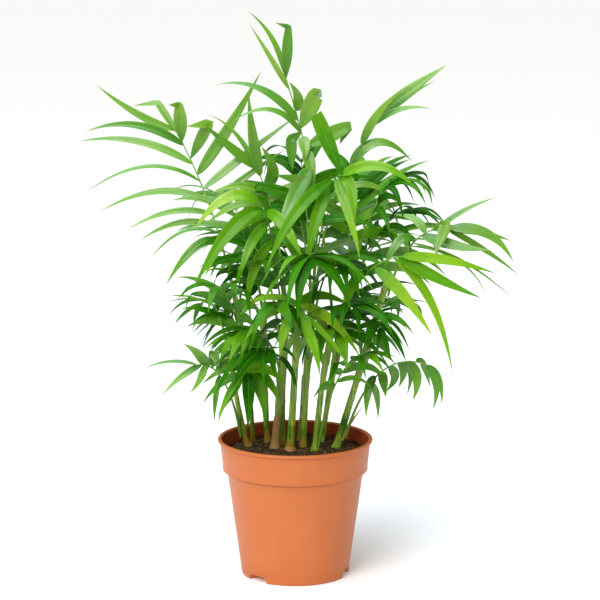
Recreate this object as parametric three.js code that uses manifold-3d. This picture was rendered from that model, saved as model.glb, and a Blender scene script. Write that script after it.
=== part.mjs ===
// A parlour palm clump in a plastic nursery pot: the pot, the potting mix, the canes and the fronds.
// Millimetres, +Z up, +X right, front towards -Y. The origin is the centre of the pot's flat underside.
import * as THREE from 'three';
import { mergeVertices } from 'three/addons/utils/BufferGeometryUtils.js';
import Module from 'manifold-3d';

const wasm = await Module();
wasm.setup();

const vec = (x, y, z) => new THREE.Vector3(x, y, z);
const FRONT = new THREE.Vector3(0, -1, 0);
const UP = vec(0, 0, 1);
const radians = THREE.MathUtils.degToRad;

// ---- Driving sizes ---------------------------------------------------------------------------------

const CLEAR = 0.3; // between neighbouring solids

const POT = {
  height: 110,
  footRadius: 42.3,
  bodyTop: 79.2, // where the tapered body ends, below the collar
  bodyTopRadius: 53.3,
  collarFoot: 84.8,
  collarFootRadius: 57.1,
  collarTopRadius: 59.4,
  beadRadius: 61.3, // rolled lip round the mouth
  beadHeight: 2.4,
  wall: 1.4,
  floor: 2,
  sides: 40,
};

const NOTCH = {
  height: 4.6, // of the gap under the pot's edge
  width: 24, // degrees
  angles: [-45.5, 74.5, 194.5], // degrees from the front, towards +X
  innerRadius: 33,
  skin: 1.5, // plastic over the notch
  drainRadius: 3.2,
  drainAt: 38, // from the pot's axis
  past: 9, // the cut runs on beyond the foot's radius
};

const SOIL = {
  level: 98.9, // flat middle of the potting mix
  levelRadius: 46,
  edge: 95.9, // it falls away towards the wall
  gap: 0.4, // from the pot's inside
};

const CANE = {
  sides: 6,
  rings: 6,
  flareHeight: 5, // of the swollen foot
  flare: 0.35, // how much wider it is at the cut
};

const RIB = {
  rings: 6,
  footRadius: 1.3,
  tipRadius: 0.75,
  seat: 0.4, // from the cane's corners, which is a little more than from its flats
};

const LEAFLET = {
  steps: 12, // along its centre line
  thickness: 1.1,
  rootWidth: 1,
  rootThickness: 0.4, // where it starts inside the rib
  shortest: 57, // a frond with smaller leaflets has one bend in each, not two
  foldSteps: 2, // length of a sharp fold
  blunt: 1.5, // power of the share along one that is placed and folded, which is widest further out
  stagger: 0.35, // of the gap between pairs, that the left one stands ahead at the first pair
  leastSize: 0.72, // of the frond's longest, where the sizes rise from and fall to along the rib
  fall: 1.6, // how steeply a droop of 1 bends it down
  creaseFall: 2.6, // how much more steeply it hangs past a sharp fold
  follow: 0.25, // how far its end turns towards the rib's tip
};

const SPREAD = { angle: 11, lift: 15, twist: 34, length: 0.16, droop: 0.45 }; // each way, degrees or shares

const SEED = { first: 1000, step: 37 }; // each frond's own draws

// ---- Seeded numbers --------------------------------------------------------------------------------

// The same draws on every run, between 0 and 1.
function dice(seed) {
  let state = seed;
  const next = () => {
    state = (state * 16807) % 2147483647;
    return state / 2147483647;
  };
  return { next, spread: (amount) => (2 * next() - 1) * amount };
}

// ---- Solids ----------------------------------------------------------------------------------------

// A three.js geometry as a manifold solid. It is closed and its faces point out.
function solidOf(geometry) {
  const bare = new THREE.BufferGeometry();
  bare.setAttribute('position', geometry.getAttribute('position').clone());
  if (geometry.index) bare.setIndex(geometry.index.clone());
  const merged = mergeVertices(bare, 1e-4);
  return new wasm.Manifold(new wasm.Mesh({
    numProp: 3,
    vertProperties: Float32Array.from(merged.getAttribute('position').array),
    triVerts: Uint32Array.from(merged.index.array),
  }));
}

function geometryOf(solid) {
  const mesh = solid.getMesh();
  const geometry = new THREE.BufferGeometry();
  geometry.setAttribute('position', new THREE.BufferAttribute(mesh.vertProperties, 3));
  geometry.setIndex(new THREE.BufferAttribute(mesh.triVerts, 1));
  geometry.computeVertexNormals();
  return geometry;
}

// A closed skin over rings of points, each ring anticlockwise as seen from the end of the row.
// A ring of one point is a tip.
function skin(rings) {
  const positions = rings.flat().flatMap((point) => point.toArray());
  const index = [];
  const starts = [];
  let count = 0;
  for (const ring of rings) {
    starts.push(count);
    count += ring.length;
  }
  for (let row = 0; row + 1 < rings.length; row += 1) {
    const sides = Math.max(rings[row].length, rings[row + 1].length);
    const [low, high] = [starts[row], starts[row + 1]];
    for (let side = 0; side < sides; side += 1) {
      const next = (side + 1) % sides;
      if (rings[row + 1].length === 1) {
        index.push(low + side, low + next, high);
      } else if (rings[row].length === 1) {
        index.push(low, high + next, high + side);
      } else {
        index.push(low + side, low + next, high + next);
        index.push(low + side, high + next, high + side);
      }
    }
  }
  for (let corner = 1; corner + 1 < rings[0].length; corner += 1) {
    index.push(starts[0], starts[0] + corner + 1, starts[0] + corner);
  }
  const last = starts[rings.length - 1];
  for (let corner = 1; corner + 1 < rings[rings.length - 1].length; corner += 1) {
    index.push(last, last + corner, last + corner + 1);
  }
  const geometry = new THREE.BufferGeometry();
  geometry.setAttribute('position', new THREE.Float32BufferAttribute(positions, 3));
  geometry.setIndex(index);
  return solidOf(geometry);
}

// A solid of revolution about +Z from points [radius, height] that start and end on the axis.
function turned(profile, sides) {
  const points = profile.map(([radius, height]) => new THREE.Vector2(radius, height));
  return solidOf(new THREE.LatheGeometry(points, sides).rotateX(Math.PI / 2));
}

// ---- Pot and potting mix ---------------------------------------------------------------------------

function potRadius(height) {
  const rise = (POT.bodyTopRadius - POT.footRadius) / POT.bodyTop;
  return POT.footRadius + rise * height;
}

function potOutside() {
  const beadFoot = POT.height - POT.beadHeight;
  return turned([
    [0, 0],
    [POT.footRadius - 1, 0],
    [potRadius(1), 1],
    [POT.bodyTopRadius, POT.bodyTop],
    [POT.collarFootRadius - 0.8, POT.collarFoot - 2],
    [POT.collarFootRadius, POT.collarFoot],
    [POT.collarTopRadius, beadFoot],
    [POT.beadRadius, beadFoot + 0.6],
    [POT.beadRadius, POT.height - 1],
    [POT.beadRadius - 1, POT.height],
    [0, POT.height],
  ], POT.sides);
}

function potInside() {
  const over = POT.height + 1;
  return turned([
    [0, POT.floor],
    [potRadius(POT.floor) - POT.wall, POT.floor],
    [POT.bodyTopRadius - POT.wall, POT.bodyTop + 1],
    [POT.collarFootRadius - POT.wall, POT.collarFoot + 1],
    [POT.collarTopRadius - POT.wall, over],
    [0, over],
  ], POT.sides);
}

// A block under the pot's edge: a sector between two radii, turned to its place.
function sector(innerRadius, outerRadius, width, bottom, top, angle) {
  const half = radians(width) / 2;
  const shape = new THREE.Shape();
  shape.absarc(0, 0, outerRadius, -half, half, false);
  shape.absarc(0, 0, innerRadius, half, -half, true);
  shape.closePath();
  const block = new THREE.ExtrudeGeometry(shape, {
    depth: top - bottom,
    bevelEnabled: false,
    curveSegments: 4,
  });
  block.translate(0, 0, bottom);
  block.rotateZ(radians(angle) - Math.PI / 2);
  return solidOf(block);
}

function potSolid() {
  let hollow = potInside();
  const cuts = [];
  const past = POT.footRadius + NOTCH.past;
  const skinAngle = 2 * THREE.MathUtils.radToDeg(NOTCH.skin / NOTCH.innerRadius);
  for (const angle of NOTCH.angles) {
    const cover = sector(
      NOTCH.innerRadius - NOTCH.skin, past, NOTCH.width + skinAngle, 0, NOTCH.height + NOTCH.skin, angle,
    );
    hollow = hollow.subtract(cover);
    cuts.push(sector(NOTCH.innerRadius, past, NOTCH.width, -1, NOTCH.height, angle));
    const drain = new THREE.CylinderGeometry(NOTCH.drainRadius, NOTCH.drainRadius, 4, 12);
    drain.rotateX(Math.PI / 2);
    drain.translate(NOTCH.drainAt, 0, NOTCH.height + 1);
    drain.rotateZ(radians(angle) - Math.PI / 2);
    cuts.push(solidOf(drain));
  }
  let pot = potOutside().subtract(hollow);
  for (const cut of cuts) pot = pot.subtract(cut);
  return pot;
}

function soilSolid() {
  const bottom = NOTCH.height + NOTCH.skin + CLEAR;
  const inner = POT.wall + SOIL.gap;
  return turned([
    [0, bottom],
    [potRadius(bottom) - inner, bottom],
    [POT.bodyTopRadius - inner, POT.bodyTop + 1],
    [POT.collarFootRadius - inner, POT.collarFoot + 1.5],
    [POT.collarFootRadius - inner, SOIL.edge],
    [SOIL.levelRadius, SOIL.level],
    [0, SOIL.level],
  ], POT.sides);
}

// ---- Canes -----------------------------------------------------------------------------------------

const CANE_FOOT = SOIL.level + CLEAR;

// foot and bow are [x, y], top is [x, y, z]: bow is how far the middle stands off the straight line.
const CANES = {
  a: { foot: [-38, 18], top: [-52, 2, 200], bow: [-3, 0], radius: [2.5, 1.6] },
  b: { foot: [-34, 30], top: [-50, 18, 235], bow: [3, 0], radius: [2.1, 1.5] },
  c: { foot: [-22, 31], top: [-24, 36, 215], bow: [-2, 0], radius: [2.6, 1.8] },
  d: { foot: [-16, 9], top: [-9, 3, 190], bow: [0, 0], radius: [2.9, 2.0] },
  e: { foot: [-10, 22], top: [-4, 20, 230], bow: [-2, 0], radius: [2.6, 1.8] },
  f: { foot: [-4, 3], top: [4, -5, 235], bow: [0, 0], radius: [3.4, 2.0] },
  g: { foot: [6, 13], top: [13, 9, 230], bow: [0, 0], radius: [2.9, 2.0] },
  h: { foot: [16, 3], top: [32, -2, 215], bow: [-2, 0], radius: [3.0, 1.9] },
  i: { foot: [33, 13], top: [72, -6, 238], bow: [0, 0], radius: [3.3, 2.0] },
  j: { foot: [4, 36], top: [14, 52, 225], bow: [0, 0], radius: [2.6, 1.8] },
  k: { foot: [21, 29], top: [38, 42, 205], bow: [0, 0], radius: [2.5, 1.8] },
};

function canePoint(cane, height) {
  const share = (height - CANE_FOOT) / (cane.top[2] - CANE_FOOT);
  const bulge = 4 * share * (1 - share);
  const along = (axis) => cane.foot[axis] + (cane.top[axis] - cane.foot[axis]) * share;
  return vec(along(0) + bulge * cane.bow[0], along(1) + bulge * cane.bow[1], height);
}

function caneRadius(cane, height) {
  const share = (height - CANE_FOOT) / (cane.top[2] - CANE_FOOT);
  const flare = Math.max(0, 1 - (height - CANE_FOOT) / CANE.flareHeight);
  return (cane.radius[0] + (cane.radius[1] - cane.radius[0]) * share) * (1 + CANE.flare * flare);
}

function caneSolid(cane) {
  const heights = [CANE_FOOT, CANE_FOOT + CANE.flareHeight];
  const step = (cane.top[2] - CANE_FOOT) / (CANE.rings - 2);
  for (let ring = 1; ring <= CANE.rings - 2; ring += 1) heights.push(CANE_FOOT + step * ring);
  return skin(heights.map((height) => {
    const centre = canePoint(cane, height);
    const radius = caneRadius(cane, height);
    return Array.from({ length: CANE.sides }, (_, side) => {
      const turn = (2 * Math.PI * side) / CANE.sides;
      return vec(centre.x + radius * Math.cos(turn), centre.y + radius * Math.sin(turn), height);
    });
  }));
}

// ---- Fronds ----------------------------------------------------------------------------------------

// Each frond leaves its cane at a height and ends at a tip [x, y, z]. arch lifts the rib over the straight
// line, lean is how soon it heads outwards, sway bends it sideways and bare is the share with no leaflets.
// leaf and wide are the longest leaflet. open and shut are its angles to the rib at the first pair and the
// last, lift raises it from the rib's plane, less by sag at the first pair, roll turns that plane, and droop,
// more by hang at the first pair, is how far it bends down. fold is the share of leaflets that are creased
// and hang. left and right make the leaflets of one side shorter. A frond with blades has only those.
const FROND = {
  arch: 12, lean: 0.35, sway: 0, bare: 0.35, pairs: 5, leaf: 60, wide: 8, open: 68, shut: 24, lift: 12,
  sag: 0, roll: 0, droop: 1, hang: 0, fold: 0.2, left: 1, right: 1, blades: [], tint: 0,
};

const TINTS = [0x1f6a1c, 0x3f9a22, 0x66b52c, 0x84c81c]; // from the shaded leaves to the young bright ones

// A leaflet placed by hand. at is its share along the rib, mid and tip [x, y, z] lie from its root, and face
// turns it from lying level to facing the front, in degrees. One with a fold is bent sharply in the middle.
function leaf(at, mid, tip, wide, face, fold = false) {
  return { at, mid, tip, wide, face, fold };
}

const FRONDS = {
  // the tall ones
  b1: { height: 205, tip: [-96, 85, 343], arch: 4, lean: 0.24, tint: 2, blades: [
    leaf(1, [-31, 2, 13], [-64, 6, 36], 7, 65),
    leaf(0.91, [-39, -4, 17], [-78, -8, 12], 8, 55),
    leaf(0.8, [-44, 4, 18], [-92, 10, 17], 7.5, 55),
    leaf(0.7, [-43, -6, 13], [-90, -14, -6], 6, 30),
    leaf(0.6, [-42, 3, 6], [-87, 4, -11], 7, 50),
    leaf(0.52, [-33, -6, 3], [-67, -14, -10], 6.5, 45),
    leaf(0.45, [-30, 4, 3], [-62, 6, -12], 6, 45),
    leaf(0.42, [-28, -6, 2], [-54, -14, -19], 4.5, 30),
    leaf(0.36, [-20, -10, 0], [-44, -18, -30], 8, 60),
    leaf(0.97, [-17, 10, 25], [-37, 14, 22], 6, 50, true),
    leaf(0.93, [-2, -2, 30], [-10, -8, 31], 10.5, 85, true),
    leaf(0.83, [15, -2, 29], [-3, -14, 28], 10, 75, true),
    leaf(0.74, [28, 6, 42], [51, 10, 82], 9.5, 70),
    leaf(0.66, [33, 8, 26], [76, 14, 58], 7.5, 60),
    leaf(0.56, [27, 8, 22], [60, 16, 44], 7, 60),
  ] },
  e1: { height: 215, tip: [-31, 60, 316], lean: 0.3, tint: 2, blades: [
    leaf(1, [-22, 0, 18], [-43, -4, 37], 9, 60),
    leaf(0.93, [-18, 8, 30], [-40, 10, 46], 5, 50),
    leaf(0.9, [-6, -4, 34], [-9, -8, 68], 9, 85),
    leaf(0.8, [7, -6, 13], [-2, -10, 33], 11, 80),
    leaf(0.7, [-20, -12, 10], [-44, -22, 6], 8, 50),
    leaf(0.6, [-24, -12, 5], [-52, -24, -10], 8, 50),
    leaf(0.65, [20, 5, 12], [46, 8, 10], 8, 50),
  ] },
  h1: { height: 210, tip: [-10, 55, 397], arch: -4, lean: 0.12, tint: 2, blades: [
    leaf(0.98, [-10, 2, 28], [-29, 4, 49], 5, 70),
    leaf(0.92, [-15, -4, 26], [-31, -6, 52], 5, 70),
    leaf(0.96, [2, -2, 41], [-8, -8, 45], 9, 85, true),
    leaf(0.84, [2, -6, 11], [-5, -10, 24], 8, 80),
    leaf(0.8, [-30, 4, 25], [-64, 6, 28], 7, 50),
    leaf(0.75, [-25, -6, 20], [-56, -12, 10], 6, 45),
    leaf(0.77, [12, -2, 27], [17, 18, 23], 13, 85, true),
    leaf(0.7, [34, 10, 15], [27, 6, 1], 13, 70, true),
    leaf(0.757, [-8, -6, -5], [-7, -10, -29], 9.5, 85, true),
    leaf(0.74, [2, -6, -9], [2, -9, -19], 9, 80),
    leaf(0.69, [4, -6, -13], [7, -9, -27], 9.5, 80),
    leaf(0.62, [-13, -22, -20], [-28, -34, -48], 13, 75),
    leaf(0.55, [-15, -10, 6], [-31, -14, 10], 10, 75),
  ] },
  j1: { height: 220, tip: [70, 60, 361], arch: 4, lean: 0.1, tint: 2, blades: [
    leaf(1, [22, 2, 18], [50, 4, 37], 11, 70),
    leaf(0.95, [25, 10, 18], [46, 16, 29], 6, 55),
    leaf(0.92, [21, -4, 13], [45, -8, 14], 6, 40),
    leaf(0.8, [14, -6, 27], [34, -8, 46], 7, 75),
    leaf(0.68, [23, 2, 18], [49, 4, 2], 8.5, 55),
    leaf(0.5, [24, 8, 8], [50, 12, -8], 7, 40),
    leaf(0.45, [-18, 6, 10], [-38, 8, 4], 7, 50),
  ] },
  // the bright ones in front
  g1: { height: 225, tip: [36, -40, 326], arch: 22, lean: 0.12, tint: 3, blades: [
    leaf(1, [-20, 0, 47], [-15, 8, 20], 12.5, 85, true),
    leaf(0.97, [31, -8, 8], [58, -14, -9], 9.5, 60),
    leaf(0.9, [10, -10, -6], [13, -20, -33], 9.5, 80),
    leaf(0.85, [11, -14, -27], [19, -22, -60], 8, 75),
    leaf(0.8, [-29, -12, -24], [-52, -20, -69], 9, 70),
    leaf(0.7, [-11, -14, -28], [-17, -18, -63], 9.5, 85),
  ] },
  e2: { height: 205, tip: [-28, -38, 305], arch: 14, lean: 0.4, tint: 3, blades: [
    leaf(1, [-24, -4, 4], [-49, -8, -20], 10, 55),
    leaf(0.85, [-24, -12, -12], [-54, -22, -58], 11.5, 65),
    leaf(0.75, [-26, 6, -10], [-48, 2, -48], 10, 70),
    leaf(0.68, [-14, -14, -15], [-23, -22, -44], 8.5, 75),
    leaf(0.5, [-15, -14, -20], [-21, -20, -54], 8, 80),
    leaf(0.8, [14, -12, -6], [30, -22, -34], 9, 75),
    leaf(0.6, [16, -10, -10], [26, -18, -42], 8.5, 75),
  ] },
  i1: { height: 234, tip: [120, -8, 279], arch: 13, tint: 2, blades: [
    leaf(0.85, [20, 2, 14], [46, 6, 24], 5, 50),
    leaf(0.75, [11, -8, 6], [2, -16, -16], 10, 80, true),
    leaf(1, [30, -2, -4], [50, -6, -26], 9, 60),
    leaf(0.9, [30, 6, -4], [55, 10, -12], 8, 45),
    leaf(0.6, [26, -6, -7], [54, -10, -10], 10, 50),
    leaf(0.95, [33, 8, -20], [59, 12, -40], 5, 60),
    leaf(0.4, [39, 4, -11], [86, 8, -47], 4, 30),
    leaf(0.5, [-14, -8, 0], [-26, -12, -24], 8, 55),
    leaf(0.45, [38, -6, -15], [57, -12, -40], 4, 30),
    leaf(0.65, [-8, 8, 10], [-24, 16, 12], 7, 50),
  ] },
  h2: { height: 200, tip: [82, -46, 264], tint: 3, blades: [
    leaf(0.65, [23, -8, -21], [45, -14, -52], 10.5, 75),
    leaf(0.9, [29, -4, -34], [46, -12, -90], 7.5, 65),
    leaf(0.95, [33, -4, -17], [65, -8, -31], 10.5, 65),
    leaf(1, [36, 4, -4], [73, 8, -15], 9.5, 60),
    leaf(0.55, [-12, -14, -8], [-20, -24, -38], 8, 75),
  ] },
  f1: { height: 190, tip: [4, -62, 219], arch: 18, lean: 0.2, tint: 3, blades: [
    leaf(0.7, [-24, -2, -7], [-43, -6, -30], 9.5, 60),
    leaf(0.55, [-29, 6, 3], [-47, 8, -15], 7, 45),
    leaf(0.85, [-11, -6, -15], [-15, -10, -37], 9, 80),
    leaf(0.95, [5, -6, -9], [6, -8, -26], 8.5, 85),
    leaf(1, [10, -6, -19], [15, -10, -43], 8, 80),
    leaf(0.9, [23, -6, -21], [41, -10, -46], 5, 70),
    leaf(0.75, [26, 0, -13], [48, -4, -42], 8, 65),
    leaf(0.6, [16, 6, -12], [28, 4, -46], 7.5, 70),
    leaf(0.5, [18, 6, 6], [42, 10, -4], 8, 50),
  ] },
  // the dark ones on the right, arching over
  k1: { height: 198, tip: [82, 40, 310], arch: 22, bare: 0.5, pairs: 7, leaf: 50, wide: 6, lift: 0,
    droop: 1.5 },
  k2: { height: 172, tip: [88, 55, 281], arch: 22, sway: 5.5, bare: 0.45, pairs: 7, leaf: 52, wide: 6,
    lift: 5, droop: 1.3 },
  i2: { height: 116, tip: [104, -16, 172], arch: 20, tint: 1, blades: [
    leaf(1, [9, 2, -13], [11, 4, -33], 6, 75),
    leaf(0.98, [8, -3, -16], [5, -4, -36], 7, 80),
    leaf(0.88, [6, 8, -4], [12, 14, -24], 6, 60),
    leaf(0.78, [8, -4, -12], [5, -6, -30], 9, 85),
    leaf(0.76, [5, 4, -11], [2, 4, -28], 5, 80),
    leaf(0.68, [5, 3, -7], [1, 4, -21], 7, 85),
    leaf(0.58, [5, 4, -9], [-2, 4, -21], 7, 85),
    leaf(0.5, [1, -4, -8], [3, -6, -20], 8, 85),
    leaf(0.42, [-6, -8, -8], [-8, -14, -30], 7, 75),
    leaf(0.35, [5, 6, -12], [6, 8, -32], 6, 75),
  ] },
  i3: { height: 190, tip: [66, -36, 206], arch: 14, bare: 0.4, pairs: 6, leaf: 38, wide: 6 },
  i4: { height: 175, tip: [82, 56, 208], arch: 16, leaf: 40, wide: 6, tint: 1 },
  // the small ones on the left
  a1: { height: 116, tip: [-76, -25, 174], arch: 14, tint: 1, blades: [
    leaf(1, [-22, 4, 2], [-44, 6, -5], 4, 40),
    leaf(0.92, [-17, -6, -9], [-31, -10, -23], 6, 60),
    leaf(0.85, [-5, -8, -11], [-12, -10, -20], 6.5, 75),
    leaf(0.8, [-9, -4, 12], [-19, -6, 19], 9, 80),
    leaf(0.7, [1, 4, 12], [5, -5, 2], 8, 80, true),
    leaf(0.6, [12, 6, 8], [28, 10, 6], 8, 60),
    leaf(0.55, [-3, -6, -18], [-4, -10, -37], 5, 70),
    leaf(0.45, [14, -8, 4], [30, -14, -8], 7, 60),
  ] },
  c1: { height: 140, tip: [-44, -40, 164], tint: 1, blades: [
    leaf(1, [-9, -4, -12], [-16, -8, -32], 5, 70),
    leaf(0.9, [-9, -8, -12], [-18, -10, -29], 8.5, 75),
    leaf(0.8, [-19, -2, -8], [-33, -4, -24], 6.5, 60),
    leaf(0.75, [14, -4, 4], [32, -8, -8], 8, 60),
    leaf(0.7, [1, -8, -21], [0, -10, -44], 9.5, 85),
    leaf(0.6, [9, -8, -18], [12, -12, -41], 9, 85),
    leaf(0.6, [-18, -2, 2], [-38, -6, -10], 7, 50),
    leaf(0.5, [13, -6, -8], [21, -10, -25], 8, 70),
    leaf(0.5, [-16, 8, 6], [-34, 10, 0], 8, 60),
  ] },
  d1: { height: 170, tip: [-42, -20, 199], arch: 10, bare: 0.3, pairs: 6, leaf: 46, wide: 8.5, sag: 30,
    tint: 1 },
  c2: { height: 195, tip: [-50, 50, 215], bare: 0.3, pairs: 6, leaf: 38, wide: 6, droop: 0.9 },
  b2: { height: 180, tip: [-60, 30, 200], bare: 0.3, leaf: 38, wide: 6, droop: 0.9 },
  a2: { height: 175, tip: [-74, 30, 212], arch: 16, leaf: 38, wide: 6, droop: 0.9, tint: 1 },
  // the dark ones inside
  e3: { height: 190, tip: [-21, -10, 253], arch: 14, bare: 0.4, leaf: 58, wide: 9, sag: 30, droop: 1.2 },
  f2: { height: 215, tip: [13, -40, 262], arch: 14, bare: 0.45, leaf: 70, wide: 10, sag: 30, droop: 1.2,
    tint: 1 },
  g2: { height: 200, tip: [39, -20, 255], arch: 16, bare: 0.4, wide: 9, sag: 30, droop: 1.3 },
  g3: { height: 170, tip: [35, -30, 203], leaf: 54, wide: 9, sag: 30, droop: 1.2, tint: 1 },
  d2: { height: 150, tip: [-26, -38, 187], leaf: 52, wide: 9, sag: 30, droop: 1.2 },
  h3: { height: 112, tip: [50, -34, 182], bare: 0.45, leaf: 46, wide: 8, sag: 20, droop: 1.2, tint: 1 },
  g4: { height: 222, tip: [5, 60, 320], arch: 14, bare: 0.4, leaf: 64, wide: 9, droop: 0.9 },
  d3: { height: 186, tip: [-38, 35, 262], arch: 16, bare: 0.4, leaf: 62, wide: 9, sag: 30, droop: 1.1 },
  e4: { height: 172, tip: [-14, -46, 226], arch: 14, leaf: 56, wide: 9, sag: 40, droop: 1.1 },
  h4: { height: 178, tip: [46, -44, 226], arch: 14, leaf: 50, wide: 8.5, sag: 40, droop: 1.1 },
  b4: { height: 160, tip: [-60, -8, 232], arch: 14, leaf: 56, wide: 8.5, sag: 30, droop: 1, tint: 1 },
  k6: { height: 165, tip: [52, 20, 222], arch: 14, leaf: 48, wide: 8, sag: 30, droop: 1.1 },
  // the ones at the back
  j5: { height: 222, tip: [-8, 100, 290], arch: 16, bare: 0.4, pairs: 6, leaf: 66, wide: 9, droop: 0.8,
    tint: 1 },
  k5: { height: 202, tip: [52, 80, 300], arch: 14, bare: 0.45, pairs: 6, leaf: 66, wide: 9, droop: 0.8,
    tint: 1 },
  c3: { height: 205, tip: [-58, 98, 286], arch: 18, pairs: 6, leaf: 64, wide: 9, droop: 0.8, tint: 2 },
  b3: { height: 190, tip: [-50, 104, 236], arch: 20, pairs: 6, leaf: 46, wide: 7.5, droop: 0.9, tint: 1 },
  j2: { height: 200, tip: [30, 125, 270], arch: 22, pairs: 6, leaf: 80, wide: 10, droop: 0.9, tint: 2 },
  j3: { height: 185, tip: [-25, 120, 250], arch: 22, pairs: 6, leaf: 76, wide: 10, droop: 0.9, tint: 1 },
  k3: { height: 184, tip: [85, 110, 255], arch: 22, pairs: 6, leaf: 76, wide: 10, droop: 0.9, tint: 2 },
  j4: { height: 150, tip: [10, 110, 170], arch: 20, pairs: 6, wide: 9, droop: 1.1, tint: 1 },
  k4: { height: 150, tip: [60, 96, 172], arch: 20, leaf: 52, droop: 1.1 },
  c4: { height: 150, tip: [-48, 90, 165], arch: 20, leaf: 48, droop: 1.1, tint: 1 },
};

function ribPoints(name) {
  const frond = { ...FROND, ...FRONDS[name] };
  const cane = CANES[name[0]];
  const axis = canePoint(cane, frond.height);
  const tip = vec(...frond.tip);
  const out = vec(tip.x - axis.x, tip.y - axis.y, 0).normalize();
  const off = caneRadius(cane, frond.height) + RIB.seat + RIB.footRadius;
  const foot = axis.clone().addScaledVector(out, off);
  const reach = vec(tip.x - foot.x, tip.y - foot.y, 0);
  const across = vec(-reach.y, reach.x, 0).normalize();
  const bend = vec(foot.x, foot.y, (foot.z + tip.z) / 2 + 2 * frond.arch);
  bend.addScaledVector(reach, frond.lean).addScaledVector(across, 2 * frond.sway);
  return new THREE.QuadraticBezierCurve3(foot, bend, tip);
}

// Along the rib, its own left and its upper side, turned about it by roll.
function ribFrame(curve, share, roll) {
  const along = vec(
    ...['x', 'y', 'z'].map((axis) => (
      (curve.v1[axis] - curve.v0[axis]) * (1 - share) + (curve.v2[axis] - curve.v1[axis]) * share
    )),
  ).normalize();
  const side = UP.clone().cross(along).normalize();
  const over = along.clone().cross(side);
  const [cos, sin] = [Math.cos(radians(roll)), Math.sin(radians(roll))];
  return {
    along,
    left: side.clone().multiplyScalar(cos).addScaledVector(over, sin),
    over: over.clone().multiplyScalar(cos).addScaledVector(side, -sin),
  };
}

function ribSolid(curve, margin) {
  return skin(Array.from({ length: RIB.rings }, (_, ring) => {
    const share = ring / (RIB.rings - 1);
    const { left, over } = ribFrame(curve, share, 0);
    const centre = curve.getPoint(share);
    const radius = RIB.footRadius + (RIB.tipRadius - RIB.footRadius) * share + margin;
    return [90, 210, 330].map((turn) => (
      centre.clone()
        .addScaledVector(over, radius * Math.sin(radians(turn)))
        .addScaledVector(left, radius * Math.cos(radians(turn)))
    ));
  }));
}

// Half the width of a leaflet, as a share of its widest, from its narrow root to its long fine tip.
function outline(share) {
  return (Math.sin(Math.PI * share ** 0.62) ** 0.9 * (1 - 0.35 * share)) / 0.893;
}

// The centre line of a leaflet placed by hand, and its width there.
function placedLeaflet(curve, { at, mid, tip, wide, face, fold }) {
  const root = curve.getPoint(at);
  const middle = vec(...mid).add(root);
  const end = vec(...tip).add(root);
  const handle = middle.clone().multiplyScalar(2).addScaledVector(root, -0.5).addScaledVector(end, -0.5);
  const pieces = fold
    ? [new THREE.LineCurve3(root, middle), new THREE.LineCurve3(middle, end)]
    : [new THREE.QuadraticBezierCurve3(root, handle, end)];
  const path = new THREE.CurvePath();
  pieces.forEach((stretch) => path.add(stretch));
  const points = path.getSpacedPoints(LEAFLET.steps);
  const facing = UP.clone().multiplyScalar(Math.cos(radians(face)))
    .addScaledVector(FRONT, Math.sin(radians(face)));
  const widths = points.slice(1).map((point, step) => {
    const half = (wide / 2) * outline((step / LEAFLET.steps) ** (fold ? LEAFLET.blunt : 1));
    return point.clone().sub(points[step]).cross(facing).setLength(half);
  });
  const bent = Math.round((LEAFLET.steps * vec(...mid).length()) / path.getLength());
  return { points, widths, crease: fold ? bent : 0, side: 1, long: path.getLength() >= LEAFLET.shortest };
}

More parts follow.
